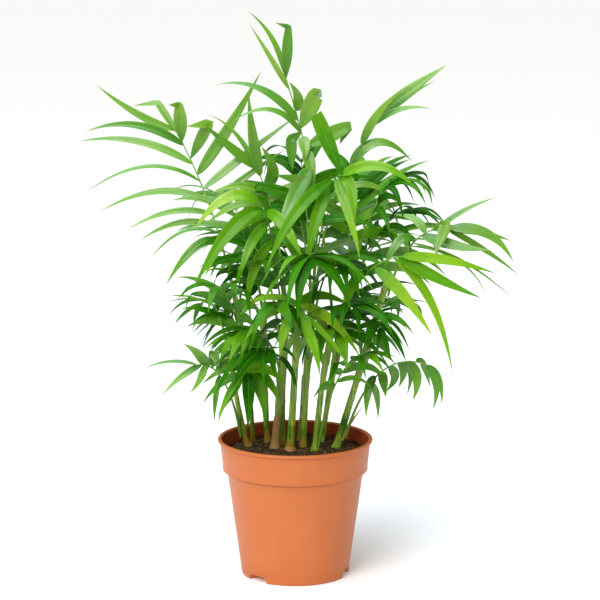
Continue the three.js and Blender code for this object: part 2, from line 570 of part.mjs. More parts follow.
// Each leaflet's centre line and its width there, from the frond's sizes and its seed.
function leafletsOf(name, seed) {
  const frond = { ...FROND, ...FRONDS[name] };
  const curve = ribPoints(name);
  if (frond.blades.length) return frond.blades.map((blade) => placedLeaflet(curve, blade));
  const draw = dice(seed);
  const leaflets = [];
  for (let pair = 0; pair < frond.pairs; pair += 1) {
    const rank = pair / (frond.pairs - 1);
    for (const side of [1, -1]) {
      const stagger = side > 0 ? (LEAFLET.stagger / frond.pairs) * (1 - rank) : 0;
      const share = frond.bare + (1 - frond.bare) * (rank + stagger);
      const { along, left, over } = ribFrame(curve, share, frond.roll);
      const open = frond.open + (frond.shut - frond.open) * rank;
      const angle = radians(open + draw.spread(SPREAD.angle));
      const lift = radians(frond.lift - frond.sag * (1 - rank) + draw.spread(SPREAD.lift));
      const rise = Math.sin(Math.PI * (0.12 + 0.72 * rank));
      const size = LEAFLET.leastSize + (1 - LEAFLET.leastSize) * rise;
      const grown = size * (side > 0 ? frond.left : frond.right);
      const length = frond.leaf * grown * (1 + draw.spread(SPREAD.length));
      const droop = frond.droop * (1 + frond.hang * (1 - rank)) * (1 + draw.spread(SPREAD.droop));
      const twist = radians(draw.spread(SPREAD.twist));
      const folds = draw.next() < frond.fold;
      const crease = Math.round((0.5 + 0.25 * draw.next()) * LEAFLET.steps);
      const out = left.clone().multiplyScalar(side * Math.cos(lift)).addScaledVector(over, Math.sin(lift));
      const start = along.clone().multiplyScalar(Math.cos(angle)).addScaledVector(out, Math.sin(angle));
      const across = along.clone().addScaledVector(start, -along.dot(start)).normalize();
      const level = across.clone().multiplyScalar(Math.cos(twist))
        .addScaledVector(start.clone().cross(across), Math.sin(twist));
      const points = [curve.getPoint(share)];
      const widths = [];
      for (let step = 0; step <= LEAFLET.steps; step += 1) {
        const part = step / LEAFLET.steps;
        const creased = THREE.MathUtils.clamp((step - crease) / LEAFLET.foldSteps, 0, 1);
        const fall = LEAFLET.fall * droop * part ** 1.4 + (folds ? LEAFLET.creaseFall * creased : 0);
        const heading = start.clone().addScaledVector(along, LEAFLET.follow * part);
        heading.addScaledVector(UP, -fall).normalize();
        const flat = level.clone().addScaledVector(heading, -level.dot(heading)).normalize();
        widths.push(flat.multiplyScalar((frond.wide / 2) * outline(part)));
        if (step < LEAFLET.steps) {
          points.push(points[step].clone().addScaledVector(heading, length / LEAFLET.steps));
        }
      }
      const long = frond.leaf >= LEAFLET.shortest;
      leaflets.push({ points, widths, crease: folds ? crease : 0, side, long });
    }
  }
  return leaflets;
}

// A bent three-sided blade: two edges, and a keel below them.
function leafletSolid({ points, widths, crease, side, long }, margin) {
  const third = LEAFLET.steps / 3;
  const plain = long ? [third, 2 * third] : [third + 1];
  const stations = crease ? [crease, crease + LEAFLET.foldSteps] : plain;
  const ring = (centre, half, heading, thickness) => {
    const edge = half.clone().multiplyScalar(side);
    const keel = heading.clone().cross(edge).setLength(thickness + margin);
    return [centre.clone().add(edge), centre.clone().add(keel), centre.clone().sub(edge)];
  };
  const start = points[1].clone().sub(points[0]).normalize();
  const neck = widths[third].clone().setLength(LEAFLET.rootWidth / 2 + margin);
  const rings = [ring(points[0], neck, start, LEAFLET.rootThickness)];
  for (const station of stations) {
    const heading = points[station + 1].clone().sub(points[station - 1]).normalize();
    const half = widths[station].clone();
    half.setLength(half.length() + margin);
    rings.push(ring(points[station], half, heading, LEAFLET.thickness));
  }
  rings.push([points[LEAFLET.steps]]);
  return skin(rings);
}

// ---- Assembly --------------------------------------------------------------------------------------

const palm = new THREE.Group();

function addPart(name, solid, colour, roughness) {
  const material = new THREE.MeshStandardMaterial({ color: colour, roughness, metalness: 0 });
  const mesh = new THREE.Mesh(geometryOf(solid), material);
  mesh.name = name;
  palm.add(mesh);
}

// A solid with the box round it, so that far neighbours are passed over quickly.
function piece(owner, solid) {
  const box = new THREE.Box3().setFromArray(solid.getMesh().vertProperties);
  return { owner, solid, box };
}

function touches(one, other) {
  if (!one.box.intersectsBox(other.box)) return false;
  return one.solid.intersect(other.solid).getMesh().triVerts.length > 0;
}

const pot = potSolid();
const soil = soilSolid();
addPart('pot', pot, 0xda8350, 0.5);
addPart('potting_mix', soil, 0x38271a, 0.95);

const placed = [piece('pot', pot), piece('potting_mix', soil)];
for (const [letter, cane] of Object.entries(CANES)) {
  const solid = caneSolid(cane);
  addPart(`cane_${letter}`, solid, 0x86a645, 0.55);
  placed.push(piece(letter, solid));
}

const ribs = {};
for (const name of Object.keys(FRONDS)) {
  ribs[name] = ribSolid(ribPoints(name), 0);
  placed.push(piece(name, ribs[name]));
}

// A leaflet that would touch another frond, a cane or the pot is left out.
Object.keys(FRONDS).forEach((name, order) => {
  let frond = ribs[name];
  for (const leaflet of leafletsOf(name, SEED.first + SEED.step * order)) {
    const roomy = piece(name, leafletSolid(leaflet, CLEAR));
    if (placed.some((other) => other.owner !== name && touches(roomy, other))) continue;
    const blade = leafletSolid(leaflet, 0);
    placed.push(piece(name, blade));
    frond = frond.add(blade);
  }
  addPart(`frond_${name}`, frond, TINTS[{ ...FROND, ...FRONDS[name] }.tint], 0.4);
});

export default palm;
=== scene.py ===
# %% [markdown]
# # A parlour palm clump in its nursery pot
# The plant is eleven thin canes with feather-like fronds, crowded into a small plastic pot. The solids of
# the CAD model fix where each piece is. Every cell below dresses one of them: first the pot, then the
# potting mix, the canes, and last the fronds, which are most of the work and most of the beauty.
#
# The model is loaded first, because all later pieces are measured against it.

# %% Load the frame
import math

import bmesh
import bpy
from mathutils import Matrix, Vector, noise


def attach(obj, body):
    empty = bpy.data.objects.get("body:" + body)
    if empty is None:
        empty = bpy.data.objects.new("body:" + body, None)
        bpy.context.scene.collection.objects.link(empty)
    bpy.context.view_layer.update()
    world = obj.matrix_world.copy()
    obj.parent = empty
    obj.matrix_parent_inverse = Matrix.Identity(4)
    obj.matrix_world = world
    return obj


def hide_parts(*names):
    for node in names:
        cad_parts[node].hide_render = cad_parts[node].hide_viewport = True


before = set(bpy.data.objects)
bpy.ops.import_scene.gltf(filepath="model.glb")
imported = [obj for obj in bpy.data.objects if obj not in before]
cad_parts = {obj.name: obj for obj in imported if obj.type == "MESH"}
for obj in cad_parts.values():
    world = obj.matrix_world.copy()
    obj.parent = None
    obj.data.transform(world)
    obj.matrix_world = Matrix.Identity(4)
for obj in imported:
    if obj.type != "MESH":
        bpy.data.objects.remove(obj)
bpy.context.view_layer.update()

MM = 0.001
print("CAD nodes:", len(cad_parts))


# %% Put things in the scene
scene = bpy.context.scene


def link_object(name, data, materials=()):
    """An object at the origin with this mesh, light or camera, and the mesh's materials."""
    for material in materials:
        data.materials.append(material)
    placed = bpy.data.objects.new(name, data)
    scene.collection.objects.link(placed)
    return placed


# %% [markdown]
# ## Camera
# A pot plant looks calmest through a long lens from a little above: the lines of the pot stay almost parallel
# and its mouth shows as a slim ellipse. The camera therefore stands well back, looks down by 11 degrees and
# aims at the middle of the plant.

# %% Place the camera
CAMERA = {"pitch": 11.3, "distance": 2380, "aim": (3.8, 0, 220.8), "lens": 182.14}

camera = link_object("camera", bpy.data.cameras.new("camera"))
camera.data.sensor_width = 36
camera.data.lens = CAMERA["lens"]
camera.data.clip_end = 50
pitch = math.radians(CAMERA["pitch"])
back = Vector((0, -math.cos(pitch), math.sin(pitch)))
camera.location = (Vector(CAMERA["aim"]) + back * CAMERA["distance"]) * MM
camera.rotation_euler = (math.pi / 2 - pitch, 0, 0)
scene.camera = camera
print("camera at", [round(x, 3) for x in camera.location], "m")

# %% [markdown]
# ## Floor and light
# Leaves look alive when light comes from all round and also through them, so the room is white and bright.
# One wide soft sun from the upper left shapes the pot, and a cool panel overhead draws the bluish gloss on
# the bends of the leaves. The floor is one pale sheet that is large enough to have no visible edge. It glows
# a little, as a light table does, so that the plant stands in clean white with a faint shadow.


# %% Colours
def linear(colour):
    """An sRGB hex colour as the linear red, green, blue and alpha that shaders work in."""
    channels = [int(colour[i:i + 2], 16) / 255 for i in (1, 3, 5)]
    turned = [c / 12.92 if c <= 0.04045 else ((c + 0.055) / 1.055) ** 2.4 for c in channels]
    return (*turned, 1.0)


def mixed(colour, other, share):
    return tuple(a + (b - a) * share for a, b in zip(colour, other))


print("mid green in linear:", [round(c, 3) for c in linear("#3f9a22")])


# %% Finishes
def new_finish(name, colour, roughness, numbers=None):
    """A material whose plain numbers sit on the shader's own sockets."""
    material = bpy.data.materials.new(name)
    material.use_nodes = True
    shader = material.node_tree.nodes["Principled BSDF"]
    for socket, value in {"Base Color": colour, "Roughness": roughness, **(numbers or {})}.items():
        shader.inputs[socket].default_value = value
    return material, material.node_tree, shader


def add(tree, kind, inputs=None, **settings):
    """One node with its settings, and with a number or a link for each input that is named."""
    node = tree.nodes.new(kind)
    for setting, value in settings.items():
        setattr(node, setting, value)
    for socket, value in (inputs or {}).items():
        if isinstance(value, bpy.types.NodeSocket):
            tree.links.new(value, node.inputs[socket])
        else:
            node.inputs[socket].default_value = value
    return node


def per_metre(size_mm):
    """The texture scale at which a pattern's features are about this many millimetres wide."""
    return 1000 / size_mm


def wire(tree, shader, colour, bump):
    """Links a pattern's colour and its bump to the shader."""
    tree.links.new(colour, shader.inputs["Base Color"])
    tree.links.new(bump.outputs["Normal"], shader.inputs["Normal"])


# %% Light the room
scene.view_settings.view_transform = "Standard"
scene.world = bpy.data.worlds.new("white_room")
scene.world.use_nodes = True
room = scene.world.node_tree.nodes["Background"]
room.inputs["Color"].default_value = linear("#ffffff")
room.inputs["Strength"].default_value = 0.34

sun = link_object("soft_sun", bpy.data.lights.new("soft_sun", "SUN"))
sun.data.energy = 2.45
sun.data.angle = math.radians(35)
sun.rotation_euler = (math.radians(48), 0, math.radians(-24))

panel = link_object("overhead_panel", bpy.data.lights.new("overhead_panel", "AREA"))
panel.data.energy = 22
panel.data.size = 1.2
panel.data.color = linear("#e4efff")[:3]
panel.location = (-0.2, 0.1, 1.5)

floor_finish = new_finish("painted_studio_floor", linear("#f3f3f1"), 0.9, {
    "Emission Color": linear("#ffffff"), "Emission Strength": 0.19,
})[0]
floor_mesh = bpy.data.meshes.new("studio_floor")
floor_mesh.from_pydata([(-20, -20, 0), (20, -20, 0), (20, 20, 0), (-20, 20, 0)], [], [(0, 1, 2, 3)])
floor = link_object("studio_floor", floor_mesh, [floor_finish])

# %% [markdown]
# ## Meshes from rings
# The pot and the potting mix are both skins over rings of points. One helper links each ring to the next and
# puts a lid on both ends, so that every such piece is closed.


# %% A skin over rings
def skin(name, rings, materials):
    """A piece over rings of points in millimetres, all of one length, with a lid at both ends."""
    count = len(rings[0])
    points = [Vector(point) * MM for ring in rings for point in ring]
    faces = []
    for row in range(len(rings) - 1):
        for side in range(count):
            after = (side + 1) % count
            low = row * count
            faces.append((low + side, low + after, low + count + after, low + count + side))
    faces.append(tuple(reversed(range(count))))
    faces.append(tuple(range(len(points) - count, len(points))))
    mesh = bpy.data.meshes.new(name)
    mesh.from_pydata(points, [], faces)
    return link_object(name, mesh, materials)


def face_out(mesh, sharp_degrees=40):
    """Turns the faces of closed pieces outwards, and keeps only real corners sharp."""
    work = bmesh.new()
    work.from_mesh(mesh)
    bmesh.ops.recalc_face_normals(work, faces=work.faces)
    work.to_mesh(mesh)
    work.free()
    mesh.shade_smooth()
    mesh.set_sharp_from_angle(angle=math.radians(sharp_degrees))


def triangles(mesh):
    return sum(len(face.vertices) - 2 for face in mesh.polygons)


# %% [markdown]
# ## The pot
# It is injection-moulded polypropylene in a terracotta colour. The wall tapers, steps out to a collar by
# which pots stack, and ends in a rolled lip. Three gaps under its edge let water out. The section is drawn
# once and turned about the axis, and the gaps are made by lifting the foot of the wall where they are.
# What gives it away as plastic is the soft, even sheen, the thin lip with its bright edge, and the fine
# moulded line under the collar.

# %% The pot's finish
# A soft sheen, and slow clouds in the colour where the plastic flowed: it is never one flat orange close up.
pot_plastic, tree, shader = new_finish(
    "moulded_polypropylene_terracotta", linear("#c26a33"), 0.44, {"IOR": 1.49, "Specular IOR Level": 0.36}
)
place = add(tree, "ShaderNodeTexCoord").outputs["Object"]
cloudy = add(tree, "ShaderNodeTexNoise", {"Vector": place, "Scale": per_metre(30), "Detail": 3.0})
flow = add(tree, "ShaderNodeMix", {
    0: cloudy.outputs["Fac"], 6: linear("#bc6329"), 7: linear("#c76f39"),
}, data_type="RGBA")
pebble = add(tree, "ShaderNodeTexNoise", {"Vector": place, "Scale": per_metre(1.2), "Detail": 2.0})
bump = add(tree, "ShaderNodeBump", {
    "Strength": 0.25, "Distance": 0.1 * MM, "Height": pebble.outputs["Fac"],
})
wire(tree, shader, flow.outputs[2], bump)

# Inside, the same plastic is painted a deeper, darker red as painted shade, and a little of the potting mix
# clings to it just above its level.
pot_inside, tree, shader = new_finish(
    "moulded_polypropylene_dusted", linear("#c4623a"), 0.55, {"IOR": 1.49, "Specular IOR Level": 0.4}
)
place = add(tree, "ShaderNodeTexCoord").outputs["Object"]
height = add(tree, "ShaderNodeSeparateXYZ", {"Vector": place}).outputs["Z"]
ragged = add(tree, "ShaderNodeTexNoise", {"Vector": place, "Scale": per_metre(4), "Detail": 5.0})
low = add(tree, "ShaderNodeMapRange", {
    "Value": height, "From Min": 96.5 * MM, "From Max": 105.5 * MM, "To Min": 0.35, "To Max": -0.35,
})
cling = add(tree, "ShaderNodeMath", {0: low.outputs["Result"], 1: ragged.outputs["Fac"]}, operation="ADD")
edge = add(tree, "ShaderNodeMapRange", {"Value": cling.outputs[0], "From Min": 0.5, "From Max": 0.75})
# the deeper red higher up is painted shade on the inner wall; the brown lower down is real potting mix
# clinging there
dust_on_painted_shade = add(tree, "ShaderNodeMix", {
    0: edge.outputs["Result"], 6: linear("#a23e14"), 7: linear("#3a2814"),
}, data_type="RGBA")
tree.links.new(dust_on_painted_shade.outputs[2], shader.inputs["Base Color"])
print("pot finishes:", pot_plastic.name, pot_inside.name)

# %% The pot's section
POT_COLUMNS = 180
FOOT_TOP = 8
WALL = 1.4
NOTCH = {"height": 4.6, "width": 24, "ease": 2.5, "angles": (-45.5, 74.5, 194.5), "inner": 33}


def wall_radius(z):
    """The outside of the tapered wall at a height, in mm like every size in these tables."""
    return 42.3 + 0.139 * z


# Radius and height, from under the middle, up the outside, over the lip and down the inside.
OUTSIDE = (
    [(0.5, 0), (12, 0), (24, 0), (32.6, 0), (33.4, 0), (37, 0), (40.4, 0), (41.3, 0.1), (41.9, 0.4)]
    + [(wall_radius(z) + 0.15, z) for z in (1, 2, 3.4, 4.7)]
    + [(wall_radius(5.1) + 0.05, 5.1), (wall_radius(5.4) - 0.2, 5.3), (wall_radius(6) - 0.1, 5.9)]
    + [(wall_radius(z), z) for z in (FOOT_TOP, 12, 20, 30, 40, 50, 60, 70, 75, 78)]
    + [(53.4, 79.3), (53.65, 80.2), (54.0, 81.2), (54.4, 82.2), (54.8, 83.0), (54.9, 83.5), (54.7, 84.0)]
    + [(54.8, 84.45), (56.7, 84.7), (57.3, 85.0), (57.5, 85.5), (57.45, 86.3), (57.4, 87.4)]
    + [(57.6, 90), (58.1, 94), (58.55, 98), (59.0, 102), (59.25, 105.2), (59.2, 106.9), (59.3, 107.4)]
    + [(59.9, 107.5), (60.7, 107.65), (61.15, 108.0), (61.3, 108.6), (61.2, 109.25), (60.8, 109.7)]
    + [(60.2, 109.93), (59.5, 110), (58.8, 109.85), (58.3, 109.4), (58.1, 108.7), (57.95, 107.4)]
)
INSIDE = (
    [(57.8, 105), (57.5, 102), (57.0, 98), (56.5, 94), (56.0, 89), (55.4, 86), (53.2, 82.6)]
    + [(wall_radius(z) - WALL, z) for z in (76, 60, 40, 20, 8, 3.5)]
    + [(40.6, 2.3), (38, 2), (33, 2), (20, 2), (0.5, 2)]
)


def notch_lift(degrees, radius):
    """How far the pot's foot is lifted at this place: all the way in a notch, and not at all beside it."""
    if radius < NOTCH["inner"]:
        return 0
    for angle in NOTCH["angles"]:
        away = abs((degrees - angle + 180) % 360 - 180)
        share = (NOTCH["width"] / 2 + NOTCH["ease"] / 2 - away) / NOTCH["ease"]
        if share > 0:
            return NOTCH["height"] * min(1, share)
    return 0


def pot_ring(radius, z):
    ring = []
    for column in range(POT_COLUMNS):
        degrees = 360 * column / POT_COLUMNS
        lift = notch_lift(degrees, radius) * max(0, 1 - z / FOOT_TOP)
        turn = math.radians(degrees)
        ring.append((radius * math.sin(turn), -radius * math.cos(turn), z + lift))
    return ring


# %% Turn the pot
pot_rings = [pot_ring(radius, z) for radius, z in OUTSIDE + INSIDE]
pot = skin("nursery_pot", pot_rings, [pot_plastic, pot_inside])
inside_from = (len(OUTSIDE) - 2) * POT_COLUMNS
lids_from = (len(pot_rings) - 1) * POT_COLUMNS
for face in pot.data.polygons:
    if inside_from <= face.index < lids_from:
        face.material_index = 1
face_out(pot.data, 35)
tallest = max(corner.co.z for corner in pot.data.vertices)
print("pot:", triangles(pot.data), "triangles,", round(tallest / MM, 1), "mm tall")

# %% [markdown]
# ## The potting mix
# Peat, fine bark and coir fibre, moist and nearly black where it is deep. A smooth disc would look like
# chocolate, so the surface gets lumps of two sizes, and Geometry Nodes scatter loose crumbs and fibres over
# it. Scattering by nodes needs only one small crumb, and the seed keeps each one in its place on every run.

# %% The potting mix's finishes
peat, tree, shader = new_finish("moist_peat", linear("#42290b"), 0.93, {"Specular IOR Level": 0.25})
place = add(tree, "ShaderNodeTexCoord").outputs["Object"]
grain = add(tree, "ShaderNodeTexNoise", {"Vector": place, "Scale": per_metre(1.6), "Detail": 6.0})
shades = add(tree, "ShaderNodeValToRGB", {"Fac": grain.outputs["Fac"]})
shades.color_ramp.elements[0].position = 0.36
shades.color_ramp.elements[0].color = linear("#1c1004")
shades.color_ramp.elements[1].position = 0.7
shades.color_ramp.elements[1].color = linear("#6a4a18")
bump = add(tree, "ShaderNodeBump", {
    "Strength": 0.9, "Distance": 0.8 * MM, "Height": grain.outputs["Fac"],
})
wire(tree, shader, shades.outputs["Color"], bump)

peat_crumb = new_finish("peat_crumb", linear("#2c1a06"), 0.95)[0]
bark_crumb = new_finish("composted_bark", linear("#5c3d12"), 0.9)[0]
coir = new_finish("coir_fibre", linear("#8a6a43"), 0.85)[0]
print("potting mix finishes:", peat.name, peat_crumb.name, bark_crumb.name, coir.name)

# %% The potting mix's body
MIX = {"bottom": 6.4, "level": 98.9, "level_radius": 47, "edge": 96.2, "reach": 56.4, "hub": 0.5,
       "off_wall": 1.9, "columns": 120, "steps": 28}


def lumps(x, y):
    coarse = noise.noise(Vector((x, y, 3)) / 9)
    fine = noise.noise(Vector((x, y, 7)) / 2.6)
    return 1.1 * coarse + 0.7 * fine


def mix_ring(radius, z, lumpy):
    ring = []
    for column in range(MIX["columns"]):
        turn = 2 * math.pi * column / MIX["columns"]
        x = radius * math.cos(turn)
        y = radius * math.sin(turn)
        ring.append((x, y, z + (lumps(x, y) if lumpy else 0)))
    return ring


mix_rings = [mix_ring(radius, MIX["bottom"], False) for radius in (MIX["hub"], 41)]
mix_rings += [mix_ring(wall_radius(z) - MIX["off_wall"], z, False) for z in (20, 50, 80)]
mix_rings.append(mix_ring(55.3, 88, False))
for step in range(MIX["steps"] + 1):
    radius = MIX["reach"] * (1 - step / MIX["steps"]) + MIX["hub"]
    slope = max(0, (radius - MIX["level_radius"]) / (MIX["reach"] + MIX["hub"] - MIX["level_radius"]))
    mix_rings.append(mix_ring(radius, MIX["level"] + (MIX["edge"] - MIX["level"]) * slope ** 1.5, True))
potting = skin("potting_mix_top", mix_rings, [peat])
face_out(potting.data, 180)
print("potting mix:", triangles(potting.data), "triangles")


# %% [markdown]
# ## Running a tree of nodes
# Three helpers serve the trees from here on. One starts a tree with named inputs, and one ends it. The last
# runs it on a mesh and keeps what comes out, because a live modifier would still change with its inputs.

# %% Trees of nodes
SOCKETS = {
    "number": "NodeSocketFloat", "count": "NodeSocketInt",
    "finish": "NodeSocketMaterial", "object": "NodeSocketObject",
}


def new_tree(name, sizes):
    """A tree with a mesh in and out, and an input for each name in sizes, of the kind given there."""
    tree = bpy.data.node_groups.new(name, "GeometryNodeTree")
    tree.interface.new_socket("Geometry", in_out="INPUT", socket_type="NodeSocketGeometry")
    tree.interface.new_socket("Geometry", in_out="OUTPUT", socket_type="NodeSocketGeometry")
    for label, kind in sizes.items():
        tree.interface.new_socket(label, in_out="INPUT", socket_type=SOCKETS[kind])
    return tree, add(tree, "NodeGroupInput").outputs, add(tree, "NodeGroupOutput").inputs[0]


def dress(tree, geometry, given, result):
    """Ends a tree: its instances become a real mesh and get the finish that is put in."""
    real = add(tree, "GeometryNodeRealizeInstances", {"Geometry": geometry})
    dressed = add(tree, "GeometryNodeSetMaterial", {"Geometry": real.outputs[0], "Material": given["Finish"]})
    tree.links.new(dressed.outputs[0], result)


def grow(piece, tree, sizes):
    """Runs the tree on the piece with these inputs, and leaves its result there as a plain mesh."""
    modifier = piece.modifiers.new(tree.name, "NODES")
    modifier.node_group = tree
    for item in tree.interface.items_tree:
        if item.in_out == "INPUT" and item.name in sizes:
            modifier[item.identifier] = sizes[item.name]
    evaluated = piece.evaluated_get(bpy.context.evaluated_depsgraph_get())
    grown = bpy.data.meshes.new_from_object(evaluated)
    piece.modifiers.remove(modifier)
    piece.data = grown
    grown.name = piece.name
    return grown


# %% A tree that scatters crumbs
tree, given, result = new_tree("scatter", {
    "Per square metre": "number", "Seed": "count", "Least": "number", "Most": "number",
    "Flatness": "number", "Length": "number", "Finish": "finish",
})
spots = add(tree, "GeometryNodeDistributePointsOnFaces", {
    "Mesh": given["Geometry"], "Density": given["Per square metre"], "Seed": given["Seed"],
})
crumb = add(tree, "GeometryNodeMeshIcoSphere", {"Radius": 1.0, "Subdivisions": 1})
turn = add(tree, "FunctionNodeRandomValue", {"Seed": given["Seed"]}, data_type="FLOAT_VECTOR")
turn.inputs[1].default_value = (0.5, 0.5, 2 * math.pi)
size = add(tree, "FunctionNodeRandomValue", {
    2: given["Least"], 3: given["Most"], "Seed": given["Seed"],
}, data_type="FLOAT")
stretch = add(tree, "ShaderNodeCombineXYZ", {"X": given["Length"], "Y": 1.0, "Z": given["Flatness"]})
scaled = add(tree, "ShaderNodeVectorMath", {
    0: stretch.outputs[0], "Scale": size.outputs[1],
}, operation="SCALE")
lay = add(tree, "FunctionNodeEulerToRotation", {0: turn.outputs[0]})
crumbs = add(tree, "GeometryNodeInstanceOnPoints", {
    "Points": spots.outputs["Points"], "Instance": crumb.outputs["Mesh"],
    "Rotation": lay.outputs[0], "Scale": scaled.outputs[0],
})
dress(tree, crumbs.outputs[0], given, result)
scatter = tree


# %% Scatter the crumbs
CRUMBS_END = 54.8  # from the pot's axis
STEEPEST = 0.3  # how far the surface's normal points up there


def surface_copy(name):
    """The top of the potting mix alone, clear of the pot's wall, for crumbs to lie on."""
    work = bmesh.new()
    work.from_mesh(potting.data)
    hidden = [face for face in work.faces
              if face.normal.z < STEEPEST or face.calc_center_median().xy.length > CRUMBS_END * MM]
    bmesh.ops.delete(work, geom=hidden, context="FACES")
    mesh = bpy.data.meshes.new(name)
    work.to_mesh(mesh)
    work.free()
    return link_object(name, mesh)


KINDS = {
    "peat_crumbs": {"Per square metre": 150000.0, "Seed": 3, "Least": 0.4 * MM, "Most": 1.1 * MM,
                    "Flatness": 0.8, "Length": 1.2, "Finish": peat_crumb},
    "bark_crumbs": {"Per square metre": 45000.0, "Seed": 8, "Least": 0.5 * MM, "Most": 1.5 * MM,
                    "Flatness": 0.45, "Length": 1.6, "Finish": bark_crumb},
    "coir_fibres": {"Per square metre": 16000.0, "Seed": 5, "Least": 0.16 * MM, "Most": 0.28 * MM,
                    "Flatness": 1.0, "Length": 14.0, "Finish": coir},
}
loose = []
for name, sizes in KINDS.items():
    piece = surface_copy(name)
    grown = grow(piece, scatter, sizes)
    grown.shade_flat()
    loose.append(piece)
    print(name, triangles(grown), "triangles")

# %% [markdown]
# ## The canes
# Each cane is a young green stem with a pale ring scar wherever an old leaf has fallen, and a slight
# swelling at every ring. The older ones on the left have an ochre, corky foot. All eleven stand close
# together and lean apart. A cane follows a path and has one radius at each point of it, so it is a line of
# points with that radius, and a tree of nodes sweeps a circle along the lines. The same tree will make the
# fronds' ribs.

# %% The canes' sizes
CANE_FOOT = 99.2
FLARE = {"height": 5, "wider": 0.35}  # of the swollen foot

# foot and bow are (x, y), top is (x, y, z). bow is how far the middle stands off the straight line.
CANES = {
    "a": {"foot": (-38, 18), "top": (-52, 2, 200), "bow": (-3, 0), "radius": (2.5, 1.6)},
    "b": {"foot": (-34, 30), "top": (-50, 18, 235), "bow": (3, 0), "radius": (2.1, 1.5)},
    "c": {"foot": (-22, 31), "top": (-24, 36, 215), "bow": (-2, 0), "radius": (2.6, 1.8)},
    "d": {"foot": (-16, 9), "top": (-9, 3, 190), "bow": (0, 0), "radius": (2.9, 2.0)},
    "e": {"foot": (-10, 22), "top": (-4, 20, 230), "bow": (-2, 0), "radius": (2.6, 1.8)},
    "f": {"foot": (-4, 3), "top": (4, -5, 235), "bow": (0, 0), "radius": (3.4, 2.0)},
    "g": {"foot": (6, 13), "top": (13, 9, 230), "bow": (0, 0), "radius": (2.9, 2.0)},
    "h": {"foot": (16, 3), "top": (32, -2, 215), "bow": (-2, 0), "radius": (3.0, 1.9)},
    "i": {"foot": (33, 13), "top": (72, -6, 238), "bow": (0, 0), "radius": (3.3, 2.0)},
    "j": {"foot": (4, 36), "top": (14, 52, 225), "bow": (0, 0), "radius": (2.6, 1.8)},
    "k": {"foot": (21, 29), "top": (38, 42, 205), "bow": (0, 0), "radius": (2.5, 1.8)},
}


def cane_point(cane, height):
    """The middle of a cane at a height."""
    share = (height - CANE_FOOT) / (cane["top"][2] - CANE_FOOT)
    bulge = 4 * share * (1 - share)
    x, y = [cane["foot"][i] + (cane["top"][i] - cane["foot"][i]) * share + bulge * cane["bow"][i]
            for i in (0, 1)]
    return Vector((x, y, height))


def cane_radius(cane, height):
    share = (height - CANE_FOOT) / (cane["top"][2] - CANE_FOOT)
    flare = min(1, max(0, 1 - (height - CANE_FOOT) / FLARE["height"]))
    foot, top = cane["radius"]
    return (foot + (top - foot) * share) * (1 + FLARE["wider"] * flare)


print("canes:", len(CANES))


# %% Seeded numbers
SEED = {"rings": 500, "dry": 900, "frond": 1000, "frond_step": 37, "looks": 7000, "looks_step": 53}


class Dice:
    """The same draws on every run, between 0 and 1."""

    def __init__(self, seed):
        self.state = seed

    def next(self):
        self.state = (self.state * 16807) % 2147483647
        return self.state / 2147483647

    def spread(self, amount):
        return (2 * self.next() - 1) * amount


print("first draws:", [round(Dice(SEED[kind]).next(), 3) for kind in ("rings", "dry", "frond", "looks")])

# %% [markdown]
# ## Sweeping a section along lines
# The lines are a mesh of points and edges. What changes along a line rides on its points as an attribute:
# the radius of a stem, and later the width and the upper side of a leaflet.


# %% Lines with attributes
def lines_object(name, lines):
    """A mesh of open lines in millimetres. Each line is a dictionary: its points, and one value of each
    attribute for every point."""
    points = [point * MM for line in lines for point in line["points"]]
    edges = []
    first = 0
    for line in lines:
        edges += [(first + i, first + i + 1) for i in range(len(line["points"]) - 1)]
        first += len(line["points"])
    mesh = bpy.data.meshes.new(name)
    mesh.from_pydata(points, edges, [])
    for label in lines[0]:
        values = [value for line in lines for value in line[label]] if label != "points" else points
        if isinstance(values[0], Vector):
            layer = mesh.attributes.new("centre" if label == "points" else label, "FLOAT_VECTOR", "POINT")
            layer.data.foreach_set("vector", [x for value in values for x in value])
        else:
            layer = mesh.attributes.new(label, "FLOAT", "POINT")
            layer.data.foreach_set("value", [float(value) for value in values])
    return link_object(name, mesh)


def plain(mesh):
    """Takes the working attributes off a finished mesh."""
    for label in ("centre", "radius", "half", "up", "fold", "tint", "across", "side", "ridge"):
        if label in mesh.attributes:
            mesh.attributes.remove(mesh.attributes[label])


# %% A tree that sweeps stems
tree, given, result = new_tree("stems", {"Sides": "count", "Finish": "finish"})
rails = add(tree, "GeometryNodeMeshToCurve", {"Mesh": given["Geometry"]})
radius = add(tree, "GeometryNodeInputNamedAttribute", {"Name": "radius"}, data_type="FLOAT")
circle = add(tree, "GeometryNodeCurvePrimitiveCircle", {"Resolution": given["Sides"], "Radius": 1.0})
swept = add(tree, "GeometryNodeCurveToMesh", {
    "Curve": rails.outputs[0], "Profile Curve": circle.outputs[0],
    "Scale": radius.outputs[0], "Fill Caps": True,
})
dress(tree, swept.outputs[0], given, result)
stems = tree


def sweep(name, lines, sides, finish):
    """A piece with a stem of this many sides along every line."""
    piece = lines_object(name, lines)
    mesh = grow(piece, stems, {"Sides": sides, "Finish": finish})
    plain(mesh)
    face_out(mesh, 60)
    print(f"{name}: {len(lines)} lines, {triangles(mesh)} triangles")
    return piece


